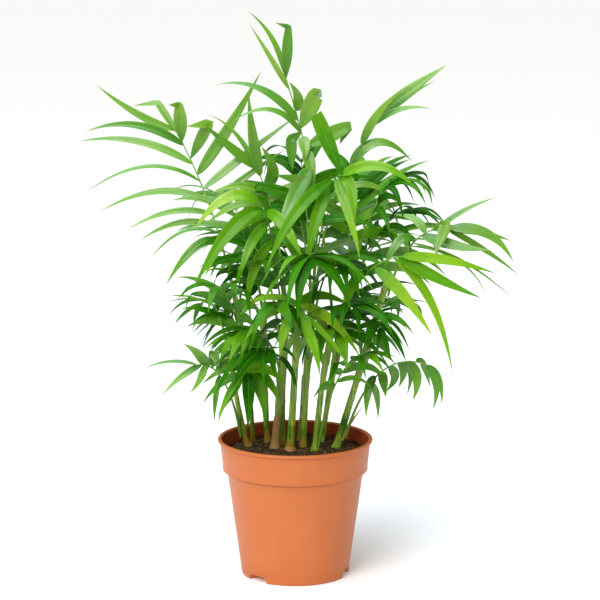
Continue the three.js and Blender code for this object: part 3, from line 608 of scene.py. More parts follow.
# %% The canes' finish
cane_skin, tree, shader = new_finish(
    "living_cane_skin", linear("#86a645"), 0.36, {"Specular IOR Level": 0.5}
)
place = add(tree, "ShaderNodeTexCoord").outputs["Object"]
parted = add(tree, "ShaderNodeSeparateXYZ", {"Vector": place})
stretched = add(tree, "ShaderNodeMapping", {"Vector": place, "Scale": (1.0, 1.0, 0.06)})
streak = add(tree, "ShaderNodeTexNoise", {
    "Vector": stretched.outputs[0], "Scale": per_metre(1.3), "Detail": 3.0,
})
patch = add(tree, "ShaderNodeTexNoise", {"Vector": place, "Scale": per_metre(14), "Detail": 2.0})
# the skin's own streaks are pushed to a pale and a dark green, which also paint highlights and shade along
# the stems
streaks_and_painted_light = add(tree, "ShaderNodeMapRange", {
    "Value": streak.outputs["Fac"], "From Min": 0.34, "From Max": 0.7,
})
greens = add(tree, "ShaderNodeMix", {
    0: streaks_and_painted_light.outputs["Result"], 6: linear("#3f7a06"), 7: linear("#b2ca40"),
}, data_type="RGBA")
# darker green patches are painted shade on the canes
shade_patches = add(tree, "ShaderNodeMapRange", {
    "Value": patch.outputs["Fac"], "From Min": 0.52, "From Max": 0.72,
})
with_painted_shade = add(tree, "ShaderNodeMix", {
    0: shade_patches.outputs["Result"], 6: greens.outputs[2], 7: linear("#33660c"),
}, data_type="RGBA")
low = add(tree, "ShaderNodeMapRange", {
    "Value": parted.outputs["Z"], "From Min": 99 * MM, "From Max": 113 * MM, "To Min": 0.5, "To Max": -0.3,
})
corky = add(tree, "ShaderNodeMath", {0: low.outputs["Result"], 1: patch.outputs["Fac"]}, operation="ADD")
cork_share = add(tree, "ShaderNodeMapRange", {
    "Value": corky.outputs[0], "From Min": 0.45, "From Max": 0.75,
})
older = add(tree, "ShaderNodeMapRange", {
    "Value": parted.outputs["X"], "From Min": 14 * MM, "From Max": 6 * MM,
})
cork = add(tree, "ShaderNodeMath", {
    0: cork_share.outputs["Result"], 1: older.outputs["Result"],
}, operation="MULTIPLY")
coloured = add(tree, "ShaderNodeMix", {
    0: cork.outputs[0], 6: with_painted_shade.outputs[2], 7: linear("#a07a1e"),
}, data_type="RGBA")
bump = add(tree, "ShaderNodeBump", {
    "Strength": 0.3, "Distance": 0.15 * MM, "Height": streak.outputs["Fac"],
})
wire(tree, shader, coloured.outputs[2], bump)
ring_scar = new_finish("corky_ring_scar", linear("#8f9a48"), 0.7)[0]
print("cane finishes:", cane_skin.name, ring_scar.name)

# %% Sweep the canes
SPACING = 19.0  # of the rings on a cane
CANE_STEPS = 90
SUNK = 1.5  # how far a cane goes down into the potting mix
SLIM = 0.93  # of the solid's radius, between the rings
SWELLING = {"share": 0.05, "reach": 1.2}  # at a ring: of the radius, and how far up and down

cane_lines = []
scar_lines = []
for letter, cane in CANES.items():
    dice = Dice(SEED["rings"] + ord(letter))
    top = cane["top"][2]
    rings = []
    height = CANE_FOOT + 5 + 4 * dice.next()
    while height < top - 4:
        rings.append(height)
        height += SPACING * (1 + dice.spread(0.25))
    bottom = CANE_FOOT - SUNK
    heights = [bottom + (top - bottom) * step / CANE_STEPS for step in range(CANE_STEPS + 1)]
    radii = []
    for height in heights:
        nearest = min(abs(height - ring) for ring in rings)
        swelling = SWELLING["share"] * math.exp(-(nearest / SWELLING["reach"]) ** 2)
        taper = 1 if height < top - 5 else max(0.25, (top - height) / 5)
        radii.append(cane_radius(cane, height) * (SLIM + swelling) * taper * MM)
    cane_lines.append({"points": [cane_point(cane, height) for height in heights], "radius": radii})
    for ring in rings:
        ends = [cane_point(cane, ring + step) for step in (-0.35, -0.1, 0.1, 0.35)]
        wide = cane_radius(cane, ring) * MM
        scar_lines.append({"points": ends, "radius": [wide * x for x in (0.9, 1.0, 1.0, 0.9)]})
canes = sweep("canes", cane_lines, 16, cane_skin)
scars = sweep("cane_ring_scars", scar_lines, 14, ring_scar)

# %% [markdown]
# ## The fronds
# A palm leaf is a feather: a rib that leaves its cane, arches out and carries leaflets in pairs. So most
# fronds are only a few numbers, and one rule draws them. A rib is a curve with three handles, and each pair
# of leaflets starts at its share of that curve. The angles, lengths and bends vary by seeded draws. Twelve
# fronds, which give the plant most of its outline, have every leaflet listed one by one instead.

# %% The fronds' sizes
# A frond leaves its cane at a height and ends at a tip (x, y, z). arch lifts the rib over the straight line,
# lean is how soon it heads outwards, sway bends it sideways and bare is the share with no leaflets. leaf and
# wide are the longest leaflet's. lift raises a leaflet from the rib's plane, less by sag at the first pair,
# and droop is how far it bends down. tint picks one of TINT_CHOICES. A frond with blades has only those, and
# each row of them is what leaf() takes.
FROND = {
    "arch": 12, "lean": 0.35, "sway": 0, "bare": 0.35, "pairs": 5, "leaf": 60, "wide": 8,
    "lift": 12, "sag": 0, "droop": 1, "tint": 0,
}


def frond(height, tip, blades=(), **own):
    """A frond's sizes, with the usual ones for all that it doesn't name."""
    placed = [leaf(*blade) for blade in blades]
    return {**FROND, "height": height, "tip": Vector(tip), "blades": placed, **own}


def leaf(at, mid, tip, wide, face, fold=False):
    """A leaflet listed one by one. It starts at a share of the rib, with its middle and tip in mm from there.
    face is how far its upper side is turned towards the front, in degrees."""
    return {"at": at, "mid": Vector(mid), "tip": Vector(tip), "wide": wide, "face": face, "fold": fold}


FRONDS = {
    # the tall ones
    "b1": frond(205, (-96, 85, 343), arch=4, lean=0.24, tint=2, blades=[
        (1, (-31, 2, 13), (-64, 6, 36), 7, 65), (0.91, (-39, -4, 17), (-78, -8, 12), 8, 55),
        (0.8, (-44, 4, 18), (-92, 10, 17), 7.5, 55), (0.7, (-43, -6, 13), (-90, -14, -6), 6, 30),
        (0.6, (-42, 3, 6), (-87, 4, -11), 7, 50), (0.52, (-33, -6, 3), (-67, -14, -10), 6.5, 45),
        (0.45, (-30, 4, 3), (-62, 6, -12), 6, 45), (0.42, (-28, -6, 2), (-54, -14, -19), 4.5, 30),
        (0.36, (-20, -10, 0), (-44, -18, -30), 8, 60), (0.97, (-17, 10, 25), (-37, 14, 22), 6, 50, True),
        (0.93, (-2, -2, 30), (-10, -8, 31), 10.5, 85, True),
        (0.83, (15, -2, 29), (-3, -14, 28), 10, 75, True), (0.74, (28, 6, 42), (51, 10, 82), 9.5, 70),
        (0.66, (33, 8, 26), (76, 14, 58), 7.5, 60), (0.56, (27, 8, 22), (60, 16, 44), 7, 60),
    ]),
    "e1": frond(215, (-31, 60, 316), lean=0.3, tint=2, blades=[
        (1, (-22, 0, 18), (-43, -4, 37), 9, 60), (0.93, (-18, 8, 30), (-40, 10, 46), 5, 50),
        (0.9, (-6, -4, 34), (-9, -8, 68), 9, 85), (0.8, (7, -6, 13), (-2, -10, 33), 11, 80),
        (0.7, (-20, -12, 10), (-44, -22, 6), 8, 50), (0.6, (-24, -12, 5), (-52, -24, -10), 8, 50),
        (0.65, (20, 5, 12), (46, 8, 10), 8, 50),
    ]),
    "h1": frond(210, (-10, 55, 397), arch=-4, lean=0.12, tint=2, blades=[
        (0.98, (-10, 2, 28), (-29, 4, 49), 5, 70), (0.92, (-15, -4, 26), (-31, -6, 52), 5, 70),
        (0.96, (2, -2, 41), (-8, -8, 45), 9, 85, True), (0.84, (2, -6, 11), (-5, -10, 24), 8, 80),
        (0.8, (-30, 4, 25), (-64, 6, 28), 7, 50), (0.75, (-25, -6, 20), (-56, -12, 10), 6, 45),
        (0.77, (12, -2, 27), (17, 18, 23), 13, 85, True), (0.7, (34, 10, 15), (27, 6, 1), 13, 70, True),
        (0.757, (-8, -6, -5), (-7, -10, -29), 9.5, 85, True), (0.74, (2, -6, -9), (2, -9, -19), 9, 80),
        (0.69, (4, -6, -13), (7, -9, -27), 9.5, 80), (0.62, (-13, -22, -20), (-28, -34, -48), 13, 75),
        (0.55, (-15, -10, 6), (-31, -14, 10), 10, 75),
    ]),
    "j1": frond(220, (70, 60, 361), arch=4, lean=0.1, tint=2, blades=[
        (1, (22, 2, 18), (50, 4, 37), 11, 70), (0.95, (25, 10, 18), (46, 16, 29), 6, 55),
        (0.92, (21, -4, 13), (45, -8, 14), 6, 40), (0.8, (14, -6, 27), (34, -8, 46), 7, 75),
        (0.68, (23, 2, 18), (49, 4, 2), 8.5, 55), (0.5, (24, 8, 8), (50, 12, -8), 7, 40),
        (0.45, (-18, 6, 10), (-38, 8, 4), 7, 50),
    ]),
    # the bright ones in front
    "g1": frond(225, (36, -40, 326), arch=22, lean=0.12, tint=3, blades=[
        (1, (-20, 0, 47), (-15, 8, 20), 12.5, 85, True), (0.97, (31, -8, 8), (58, -14, -9), 9.5, 60),
        (0.9, (10, -10, -6), (13, -20, -33), 9.5, 80), (0.85, (11, -14, -27), (19, -22, -60), 8, 75),
        (0.8, (-29, -12, -24), (-52, -20, -69), 9, 70), (0.7, (-11, -14, -28), (-17, -18, -63), 9.5, 85),
    ]),
    "e2": frond(205, (-28, -38, 305), arch=14, lean=0.4, tint=3, blades=[
        (1, (-24, -4, 4), (-49, -8, -20), 10, 55), (0.85, (-24, -12, -12), (-54, -22, -58), 11.5, 65),
        (0.75, (-26, 6, -10), (-48, 2, -48), 10, 70), (0.68, (-14, -14, -15), (-23, -22, -44), 8.5, 75),
        (0.5, (-15, -14, -20), (-21, -20, -54), 8, 80), (0.8, (14, -12, -6), (30, -22, -34), 9, 75),
        (0.6, (16, -10, -10), (26, -18, -42), 8.5, 75),
    ]),
    "i1": frond(234, (120, -8, 279), arch=13, tint=2, blades=[
        (0.85, (20, 2, 14), (46, 6, 24), 5, 50), (0.75, (11, -8, 6), (2, -16, -16), 10, 80, True),
        (1, (30, -2, -4), (50, -6, -26), 9, 60), (0.9, (30, 6, -4), (55, 10, -12), 8, 45),
        (0.6, (26, -6, -7), (54, -10, -10), 10, 50), (0.95, (33, 8, -20), (59, 12, -40), 5, 60),
        (0.4, (39, 4, -11), (86, 8, -47), 4, 30), (0.5, (-14, -8, 0), (-26, -12, -24), 8, 55),
        (0.45, (38, -6, -15), (57, -12, -40), 4, 30), (0.65, (-8, 8, 10), (-24, 16, 12), 7, 50),
    ]),
    "h2": frond(200, (82, -46, 264), tint=3, blades=[
        (0.65, (23, -8, -21), (45, -14, -52), 10.5, 75), (0.9, (29, -4, -34), (46, -12, -90), 7.5, 65),
        (0.95, (33, -4, -17), (65, -8, -31), 10.5, 65), (1, (36, 4, -4), (73, 8, -15), 9.5, 60),
        (0.55, (-12, -14, -8), (-20, -24, -38), 8, 75),
    ]),
    "f1": frond(190, (4, -62, 219), arch=18, lean=0.2, tint=3, blades=[
        (0.7, (-24, -2, -7), (-43, -6, -30), 9.5, 60), (0.55, (-29, 6, 3), (-47, 8, -15), 7, 45),
        (0.85, (-11, -6, -15), (-15, -10, -37), 9, 80), (0.95, (5, -6, -9), (6, -8, -26), 8.5, 85),
        (1, (10, -6, -19), (15, -10, -43), 8, 80), (0.9, (23, -6, -21), (41, -10, -46), 5, 70),
        (0.75, (26, 0, -13), (48, -4, -42), 8, 65), (0.6, (16, 6, -12), (28, 4, -46), 7.5, 70),
        (0.5, (18, 6, 6), (42, 10, -4), 8, 50),
    ]),
    # the dark ones on the right, arching over
    "k1": frond(198, (82, 40, 310), arch=22, bare=0.5, pairs=7, leaf=50, wide=6, lift=0, droop=1.5),
    "k2": frond(172, (88, 55, 281), arch=22, sway=5.5, bare=0.45, pairs=7, leaf=52, wide=6, lift=5,
                droop=1.3),
    "i2": frond(116, (104, -16, 172), arch=20, tint=4, blades=[
        (1, (9, 2, -13), (11, 4, -33), 6, 75), (0.98, (8, -3, -16), (5, -4, -36), 7, 80),
        (0.88, (6, 8, -4), (12, 14, -24), 6, 60), (0.78, (8, -4, -12), (5, -6, -30), 9, 85),
        (0.76, (5, 4, -11), (2, 4, -28), 5, 80), (0.68, (5, 3, -7), (1, 4, -21), 7, 85),
        (0.58, (5, 4, -9), (-2, 4, -21), 7, 85), (0.5, (1, -4, -8), (3, -6, -20), 8, 85),
        (0.42, (-6, -8, -8), (-8, -14, -30), 7, 75), (0.35, (5, 6, -12), (6, 8, -32), 6, 75),
    ]),
    "i3": frond(190, (66, -36, 206), arch=14, bare=0.4, pairs=6, leaf=38, wide=6),
    "i4": frond(175, (82, 56, 208), arch=16, leaf=40, wide=6, tint=1),
    # the small ones on the left
    "a1": frond(116, (-76, -25, 174), arch=14, tint=4, blades=[
        (1, (-22, 4, 2), (-44, 6, -5), 4, 40), (0.92, (-17, -6, -9), (-31, -10, -23), 6, 60),
        (0.85, (-5, -8, -11), (-12, -10, -20), 6.5, 75), (0.8, (-9, -4, 12), (-19, -6, 19), 9, 80),
        (0.7, (1, 4, 12), (5, -5, 2), 8, 80, True), (0.6, (12, 6, 8), (28, 10, 6), 8, 60),
        (0.55, (-3, -6, -18), (-4, -10, -37), 5, 70), (0.45, (14, -8, 4), (30, -14, -8), 7, 60),
    ]),
    "c1": frond(140, (-44, -40, 164), tint=1, blades=[
        (1, (-9, -4, -12), (-16, -8, -32), 5, 70), (0.9, (-9, -8, -12), (-18, -10, -29), 8.5, 75),
        (0.8, (-19, -2, -8), (-33, -4, -24), 6.5, 60), (0.75, (14, -4, 4), (32, -8, -8), 8, 60),
        (0.7, (1, -8, -21), (0, -10, -44), 9.5, 85), (0.6, (9, -8, -18), (12, -12, -41), 9, 85),
        (0.6, (-18, -2, 2), (-38, -6, -10), 7, 50), (0.5, (13, -6, -8), (21, -10, -25), 8, 70),
        (0.5, (-16, 8, 6), (-34, 10, 0), 8, 60),
    ]),
    "d1": frond(170, (-42, -20, 199), arch=10, bare=0.3, pairs=6, leaf=46, wide=8.5, sag=30, tint=1),
    "c2": frond(195, (-50, 50, 215), bare=0.3, pairs=6, leaf=38, wide=6, droop=0.9),
    "b2": frond(180, (-60, 30, 200), bare=0.3, leaf=38, wide=6, droop=0.9),
    "a2": frond(175, (-74, 30, 212), arch=16, leaf=38, wide=6, droop=0.9, tint=1),
    # the dark ones inside
    "e3": frond(190, (-21, -10, 253), arch=14, bare=0.4, leaf=58, wide=9, sag=30, droop=1.2),
    "f2": frond(215, (13, -40, 262), arch=14, bare=0.45, leaf=70, wide=10, sag=30, droop=1.2, tint=1),
    "g2": frond(200, (39, -20, 255), arch=16, bare=0.4, wide=9, sag=30, droop=1.3),
    "g3": frond(170, (35, -30, 203), leaf=54, wide=9, sag=30, droop=1.2, tint=1),
    "d2": frond(150, (-26, -38, 187), leaf=52, wide=9, sag=30, droop=1.2),
    "h3": frond(112, (50, -34, 182), bare=0.45, leaf=46, wide=8, sag=20, droop=1.2, tint=1),
    "g4": frond(222, (5, 60, 320), arch=14, bare=0.4, leaf=64, wide=9, droop=0.9),
    "d3": frond(186, (-38, 35, 262), arch=16, bare=0.4, leaf=62, wide=9, sag=30, droop=1.1),
    "e4": frond(172, (-14, -46, 226), arch=14, leaf=56, wide=9, sag=40, droop=1.1),
    "h4": frond(178, (46, -44, 226), arch=14, leaf=50, wide=8.5, sag=40, droop=1.1),
    "b4": frond(160, (-60, -8, 232), arch=14, leaf=56, wide=8.5, sag=30, droop=1, tint=1),
    "k6": frond(165, (52, 20, 222), arch=14, leaf=48, wide=8, sag=30, droop=1.1),
    # the ones at the back
    "j5": frond(222, (-8, 100, 290), arch=16, bare=0.4, pairs=6, leaf=66, wide=9, droop=0.8, tint=1),
    "k5": frond(202, (52, 80, 300), arch=14, bare=0.45, pairs=6, leaf=66, wide=9, droop=0.8, tint=1),
    "c3": frond(205, (-58, 98, 286), arch=18, pairs=6, leaf=64, wide=9, droop=0.8, tint=2),
    "b3": frond(190, (-50, 104, 236), arch=20, pairs=6, leaf=46, wide=7.5, droop=0.9, tint=1),
    "j2": frond(200, (30, 125, 270), arch=22, pairs=6, leaf=80, wide=10, droop=0.9, tint=2),
    "j3": frond(185, (-25, 120, 250), arch=22, pairs=6, leaf=76, wide=10, droop=0.9, tint=1),
    "k3": frond(184, (85, 110, 255), arch=22, pairs=6, leaf=76, wide=10, droop=0.9, tint=2),
    "j4": frond(150, (10, 110, 170), arch=20, pairs=6, wide=9, droop=1.1, tint=1),
    "k4": frond(150, (60, 96, 172), arch=20, leaf=52, droop=1.1),
    "c4": frond(150, (-48, 90, 165), arch=20, leaf=48, droop=1.1, tint=1),
}

print("fronds:", len(FRONDS))

# %% The rib's curve and its frame
UP = Vector((0, 0, 1))
FRONT = Vector((0, -1, 0))
# foot and tip are a rib's radii, slim is how much thinner it is half way and seat is its gap from the cane
RIB = {"foot": 1.3, "tip": 0.5, "slim": 0.25, "seat": 0.4, "steps": 32}


def rib_handles(name):
    """The three handles of a frond's rib."""
    own = FRONDS[name]
    cane = CANES[name[0]]
    axis = cane_point(cane, own["height"])
    out = Vector((own["tip"].x - axis.x, own["tip"].y - axis.y, 0)).normalized()
    foot = axis + out * (cane_radius(cane, own["height"]) + RIB["seat"] + RIB["foot"])
    reach = Vector((own["tip"].x - foot.x, own["tip"].y - foot.y, 0))
    across = Vector((-reach.y, reach.x, 0)).normalized()
    bend = Vector((foot.x, foot.y, (foot.z + own["tip"].z) / 2 + 2 * own["arch"]))
    return foot, bend + reach * own["lean"] + across * 2 * own["sway"], own["tip"]


def on_rib(handles, share):
    """The point at a share of the way along the curve over three handles."""
    foot, bend, tip = handles
    return foot * (1 - share) ** 2 + bend * 2 * share * (1 - share) + tip * share ** 2


def rib_frame(handles, share):
    """Along the rib, its own left and its upper side."""
    foot, bend, tip = handles
    along = ((bend - foot) * (1 - share) + (tip - bend) * share).normalized()
    side = UP.cross(along).normalized()
    return along, side, along.cross(side)


print("rib of b1:", [tuple(round(x) for x in handle) for handle in rib_handles("b1")])

# %% [markdown]
# ## The leaflets' rule
# Seen flat, a leaflet is a long lance: a narrow root, its widest part before the middle, and a fine
# drip tip. It leaves the rib at its own angle, then bends down under its weight. Some have been creased and
# hang from the fold. The line of each one is walked step by step, so that the bend grows along it.

# %% A leaflet's outline and its stations
STEPS = 30  # of a leaflet, along its line
COARSE = 12  # steps in which a crease is placed
CURVE_STEPS = 40  # of the curve on which a placed leaflet's steps are measured
# open and shut are a leaflet's angles to the rib at the first pair and at the last, and folded is the share
# of leaflets that are creased and hang. The left one of the first pair stands ahead by stagger of a gap.
# least is the smallest leaflet's share of the longest. fall and crease_fall are how steeply they bend down,
# and follow is how far their ends turn towards the rib's tip.
LEAFLET = {
    "open": 68, "shut": 24, "folded": 0.2, "stagger": 0.35, "least": 0.72,
    "fall": 1.6, "crease_fall": 2.6, "follow": 0.25,
}
BLUNT = 1.5  # power of the share along a placed leaflet with a fold, which is widest further out
SPREAD = {"angle": 11, "lift": 15, "twist": 34, "length": 0.16, "droop": 0.45}  # each way
# for each tint of a frond, the tints that its leaflets may start from. The dark tints are partly painted
# shade for the fronds inside the crown, and the pale grey-green tints from 12 up are painted sheen.
TINT_CHOICES = ((0, 1, 2), (2, 4, 5), (14, 15, 16), (5, 6, 8), (14, 15, 15))
WIDEST = 0.893  # what the outline reaches before it is scaled


def outline(share):
    """Half the width of a leaflet, as a share of its widest."""
    return math.sin(math.pi * share ** 0.62) ** 0.9 * (1 - 0.35 * share) / WIDEST


def looks_of(own, wide, looks):
    """How a leaflet differs from its neighbours: its curl, waves, tint, the painted light that lightens it
    towards a point along its length, and the fold along its midrib.
    """
    return {
        "wide": wide * (1 + looks.spread(0.08)),
        "curl": math.radians(looks.spread(22)),
        "wave": math.radians(looks.spread(9)),
        "phase": 6 * looks.next(),
        "fold": 0.16 + looks.spread(0.16),
        "tint": TINT_CHOICES[own["tint"]][int(3 * looks.next())],
        "painted_light_rise": 1 + 2.6 * looks.next(),
        "painted_light_peak": 0.35 + 0.45 * looks.next(),
        "blunt": 1,
    }


def add_station(line, share, point, heading, flat, side, look):
    """One point of a leaflet's line, with half its width and its upper side there."""
    roll = look["curl"] * share ** 2 + look["wave"] * math.sin(5 * share + look["phase"]) * share
    turned = flat * math.cos(roll) + flat.cross(heading) * side * math.sin(roll)
    half = max(look["wide"] / 2 * outline(share ** look["blunt"]), 0.42 * (1 - share), 0.05)
    line["points"].append(point)
    line["half"].append(turned * half * MM)
    line["up"].append(turned.cross(heading) * side)
    line["fold"].append(look["fold"] * (1 - 0.6 * share))
    # the tint rises towards a point along the leaflet: painted light on each blade
    line["tint"].append(look["tint"] + look["painted_light_rise"] * (1 - 3 * (share - look["painted_light_peak"]) ** 2))


def new_line():
    return {"points": [], "half": [], "up": [], "fold": [], "tint": []}


print("widest at", max(range(100), key=lambda share: outline(share / 100)), "% of a leaflet's length")


# %% A leaflet that grows by the rule
def leaflet_line(own, frame_here, foot, side, rank, dice, looks):
    """The line of a leaflet that grows by the rule. rank is its pair's place, from 0 to 1 at the tip."""
    along, left, over = frame_here
    closing = LEAFLET["open"] + (LEAFLET["shut"] - LEAFLET["open"]) * rank
    angle = math.radians(closing + dice.spread(SPREAD["angle"]))
    lift = math.radians(own["lift"] - own["sag"] * (1 - rank) + dice.spread(SPREAD["lift"]))
    grown = LEAFLET["least"] + (1 - LEAFLET["least"]) * math.sin(math.pi * (0.12 + 0.72 * rank))
    length = own["leaf"] * grown * (1 + dice.spread(SPREAD["length"]))
    droop = own["droop"] * (1 + dice.spread(SPREAD["droop"]))
    twist = math.radians(dice.spread(SPREAD["twist"]))
    folds = dice.next() < LEAFLET["folded"]
    crease = round((0.5 + 0.25 * dice.next()) * COARSE)
    out = left * (side * math.cos(lift)) + over * math.sin(lift)
    start = along * math.cos(angle) + out * math.sin(angle)
    across = (along - start * along.dot(start)).normalized()
    level = across * math.cos(twist) + start.cross(across) * math.sin(twist)
    look = looks_of(own, own["wide"], looks)
    line = new_line()
    point = foot
    for step in range(STEPS + 1):
        share = step / STEPS
        behind = max(0, share - 0.5 / COARSE)
        creased = min(1, max(0, (behind * COARSE - crease) / 2)) if folds else 0
        fall = LEAFLET["fall"] * droop * behind ** 1.4 + LEAFLET["crease_fall"] * creased
        heading = (start + along * LEAFLET["follow"] * behind - UP * fall).normalized()
        flat = (level - heading * level.dot(heading)).normalized()
        add_station(line, share, point, heading, flat, side, look)
        point = point + heading * (length / STEPS)
    return line


print("steps along a leaflet:", STEPS)


# %% A leaflet listed one by one
def evenly(corners, count):
    """Points at equal steps along a line through corners."""
    gaps = [(after - before).length for before, after in zip(corners, corners[1:])]
    found = [corners[0]]
    for number in range(1, count):
        left = sum(gaps) * number / count
        place = 0
        while left > gaps[place]:
            left -= gaps[place]
            place += 1
        found.append(corners[place].lerp(corners[place + 1], left / gaps[place]))
    return found + [corners[-1]]


def placed_line(own, handles, blade, looks):
    """The line of a leaflet listed one by one, through its middle to its tip."""
    root = on_rib(handles, blade["at"])
    middle, end = root + blade["mid"], root + blade["tip"]
    handle = middle * 2 - (root + end) / 2
    curve = [on_rib((root, handle, end), step / CURVE_STEPS) for step in range(CURVE_STEPS + 1)]
    points = evenly([root, middle, end] if blade["fold"] else curve, STEPS)
    face = math.radians(blade["face"])
    facing = UP * math.cos(face) + FRONT * math.sin(face)
    look = looks_of(own, blade["wide"], looks)
    look["blunt"] = BLUNT if blade["fold"] else 1
    line = new_line()
    for step, point in enumerate(points):
        heading = (points[min(step + 1, STEPS)] - points[max(step - 1, 0)]).normalized()
        add_station(line, step / STEPS, point, heading, heading.cross(facing).normalized(), 1, look)
    return line


print("leaflets placed by hand:", sum(len(own["blades"]) for own in FRONDS.values()))


# %% All leaflets of a frond
def leaflets_of(name, order):
    """The lines of all of a frond's leaflets. Its place in the table seeds its draws."""
    own = FRONDS[name]
    handles = rib_handles(name)
    dice = Dice(SEED["frond"] + SEED["frond_step"] * order)
    looks = Dice(SEED["looks"] + SEED["looks_step"] * order)
    if own["blades"]:
        return [placed_line(own, handles, blade, looks) for blade in own["blades"]]
    found = []
    for pair in range(own["pairs"]):
        rank = pair / (own["pairs"] - 1)
        for side in (1, -1):
            stagger = LEAFLET["stagger"] / own["pairs"] * (1 - rank) if side > 0 else 0
            share = own["bare"] + (1 - own["bare"]) * (rank + stagger)
            here = rib_frame(handles, share)
            found.append(leaflet_line(own, here, on_rib(handles, share), side, rank, dice, looks))
    return found


leaflets = []
for order, name in enumerate(FRONDS):
    leaflets += leaflets_of(name, order)
print("leaflets:", len(leaflets))

# %% [markdown]
# ## The leaves' finishes
# Palm leaflets are thin, waxy and slightly folded along a pale midrib. Light from behind makes them glow
# yellow-green, so the shader lets some light through below the surface, and the wax gives a cool gloss on
# each bend. The upper side is deepest in colour, the underside paler and duller. Young fronds are lime. The
# tints also paint light and shade: the fronds that stand in the most light get a paler grey-green as painted
# sheen, and the shaded ones inside the crown get dark tints, partly painted shade and partly the deeper green
# of old leaves. The tints are dealt out by frond, and each leaflet runs through neighbouring ones in steps.
# Every step is a material of one plain colour, so that it stays sharp in every copy of the model. The veins
# are real pleats in the mesh.

# %% The leaves' tints
# the deep end of this ramp is partly painted shade for the fronds inside the crown, and GREY_TO_PALE is
# painted sheen for the fronds in the most light
DEEP_TO_LIME = ["#0e3a00", "#1c5c00", "#387a00", "#5f9602", "#84ac0c"]  # tints 0 to 11
GREY_TO_PALE = ["#286608", "#4a8210", "#78a22c"]  # tints 12 to 20
LIMES = 12
TINTS = 21


def on_ramp(colours, share):
    """The colour at a share of the way along a list of colours."""
    place = share * (len(colours) - 1)
    below = min(int(place), len(colours) - 2)
    return mixed(linear(colours[below]), linear(colours[below + 1]), place - below)


def tint(number):
    """The colour of the upper side at a tint's number."""
    if number < LIMES:
        return on_ramp(DEEP_TO_LIME, number / (LIMES - 1))
    return on_ramp(GREY_TO_PALE, (number - LIMES) / (TINTS - 1 - LIMES))


def leaf_finish(name, colour, roughness, gloss):
    return new_finish(name, colour, roughness, {
        "IOR": 1.45, "Specular IOR Level": gloss, "Subsurface Weight": 0.2,
        "Subsurface Radius": (0.5, 1.0, 0.05), "Subsurface Scale": 1.2 * MM,
    })[0]


leaf_finishes = []
for number in range(TINTS):
    upper = tint(number)
    under = mixed(upper, linear("#8ab868"), 0.14)
    vein = mixed(upper, linear("#b5d65a"), 0.12)
    gloss = 0.02 + 0.004 * min(number, LIMES) ** 2  # the darkest leaves shine least
    leaf_finishes.append({
        "upper": leaf_finish(f"waxy_leaf_{number}", upper, 0.36, gloss),
        "under": leaf_finish(f"leaf_underside_{number}", under, 0.5, 0.12),
        "vein": leaf_finish(f"leaf_midrib_{number}", vein, 0.42, 0.22),
    })
rib_green = leaf_finish("green_frond_rib", linear("#6d9a30"), 0.42, 0.35)
print("leaf finishes:", 3 * len(leaf_finishes) + 1)

# %% [markdown]
# ## The leaflets by nodes
# One section is swept along every leaflet's line. The section is a closed loop of points that know how far
# across they lie, which side they are on and whether they stand on a pleat. The tree carries each point out
# by the leaflet's own half width and upper side, so the blade turns, folds and bends with its line.

# %% A leaflet's section
# across from -1 to 1, side (1 above, -1 below, 0 at the margin) and how far it stands up as a pleat
SECTION = [
    (1, 0, 0), (0.78, 1, 1), (0.55, 1, 0), (0.3, 1, 1), (0.07, 1, -0.4),
    (-0.07, 1, -0.4), (-0.3, 1, 1), (-0.55, 1, 0), (-0.78, 1, 1), (-1, 0, 0),
    (-0.55, -1, 0), (-0.11, -1, 0), (0, -1, -2.2), (0.11, -1, 0), (0.55, -1, 0),
]

section_mesh = bpy.data.meshes.new("leaflet_section")
count = len(SECTION)
corners = [(across, 0.1 * side, 0) for across, side, _ in SECTION]
section_mesh.from_pydata(corners, [(i, (i + 1) % count) for i in range(count)], [])
for column, label in enumerate(("across", "side", "ridge")):
    layer = section_mesh.attributes.new(label, "FLOAT", "POINT")
    layer.data.foreach_set("value", [float(row[column]) for row in SECTION])
section = link_object("leaflet_section", section_mesh)
print("points in the section:", count)

# %% A tree that grows blades
tree, given, result = new_tree("blades", {"Section": "object", "Thickness": "number", "Pleat": "number"})
known = {}
for label in ("across", "side", "ridge", "fold", "tint", "centre", "half", "up"):
    kind = "FLOAT_VECTOR" if label in ("centre", "half", "up") else "FLOAT"
    named = add(tree, "GeometryNodeInputNamedAttribute", {"Name": label}, data_type=kind)
    known[label] = named.outputs[0]
rails = add(tree, "GeometryNodeMeshToCurve", {"Mesh": given["Geometry"]})
loop = add(tree, "GeometryNodeObjectInfo", {"Object": given["Section"]})
profile = add(tree, "GeometryNodeMeshToCurve", {"Mesh": loop.outputs["Geometry"]})
swept = add(tree, "GeometryNodeCurveToMesh", {
    "Curve": rails.outputs[0], "Profile Curve": profile.outputs[0], "Fill Caps": True,
})
wide = add(tree, "ShaderNodeVectorMath", {0: known["half"]}, operation="LENGTH").outputs["Value"]
full = add(tree, "ShaderNodeMath", {0: wide, 1: 3 * MM}, operation="DIVIDE", use_clamp=True).outputs[0]
known.update({"wide": wide, "full": full, "thickness": given["Thickness"], "pleat": given["Pleat"]})

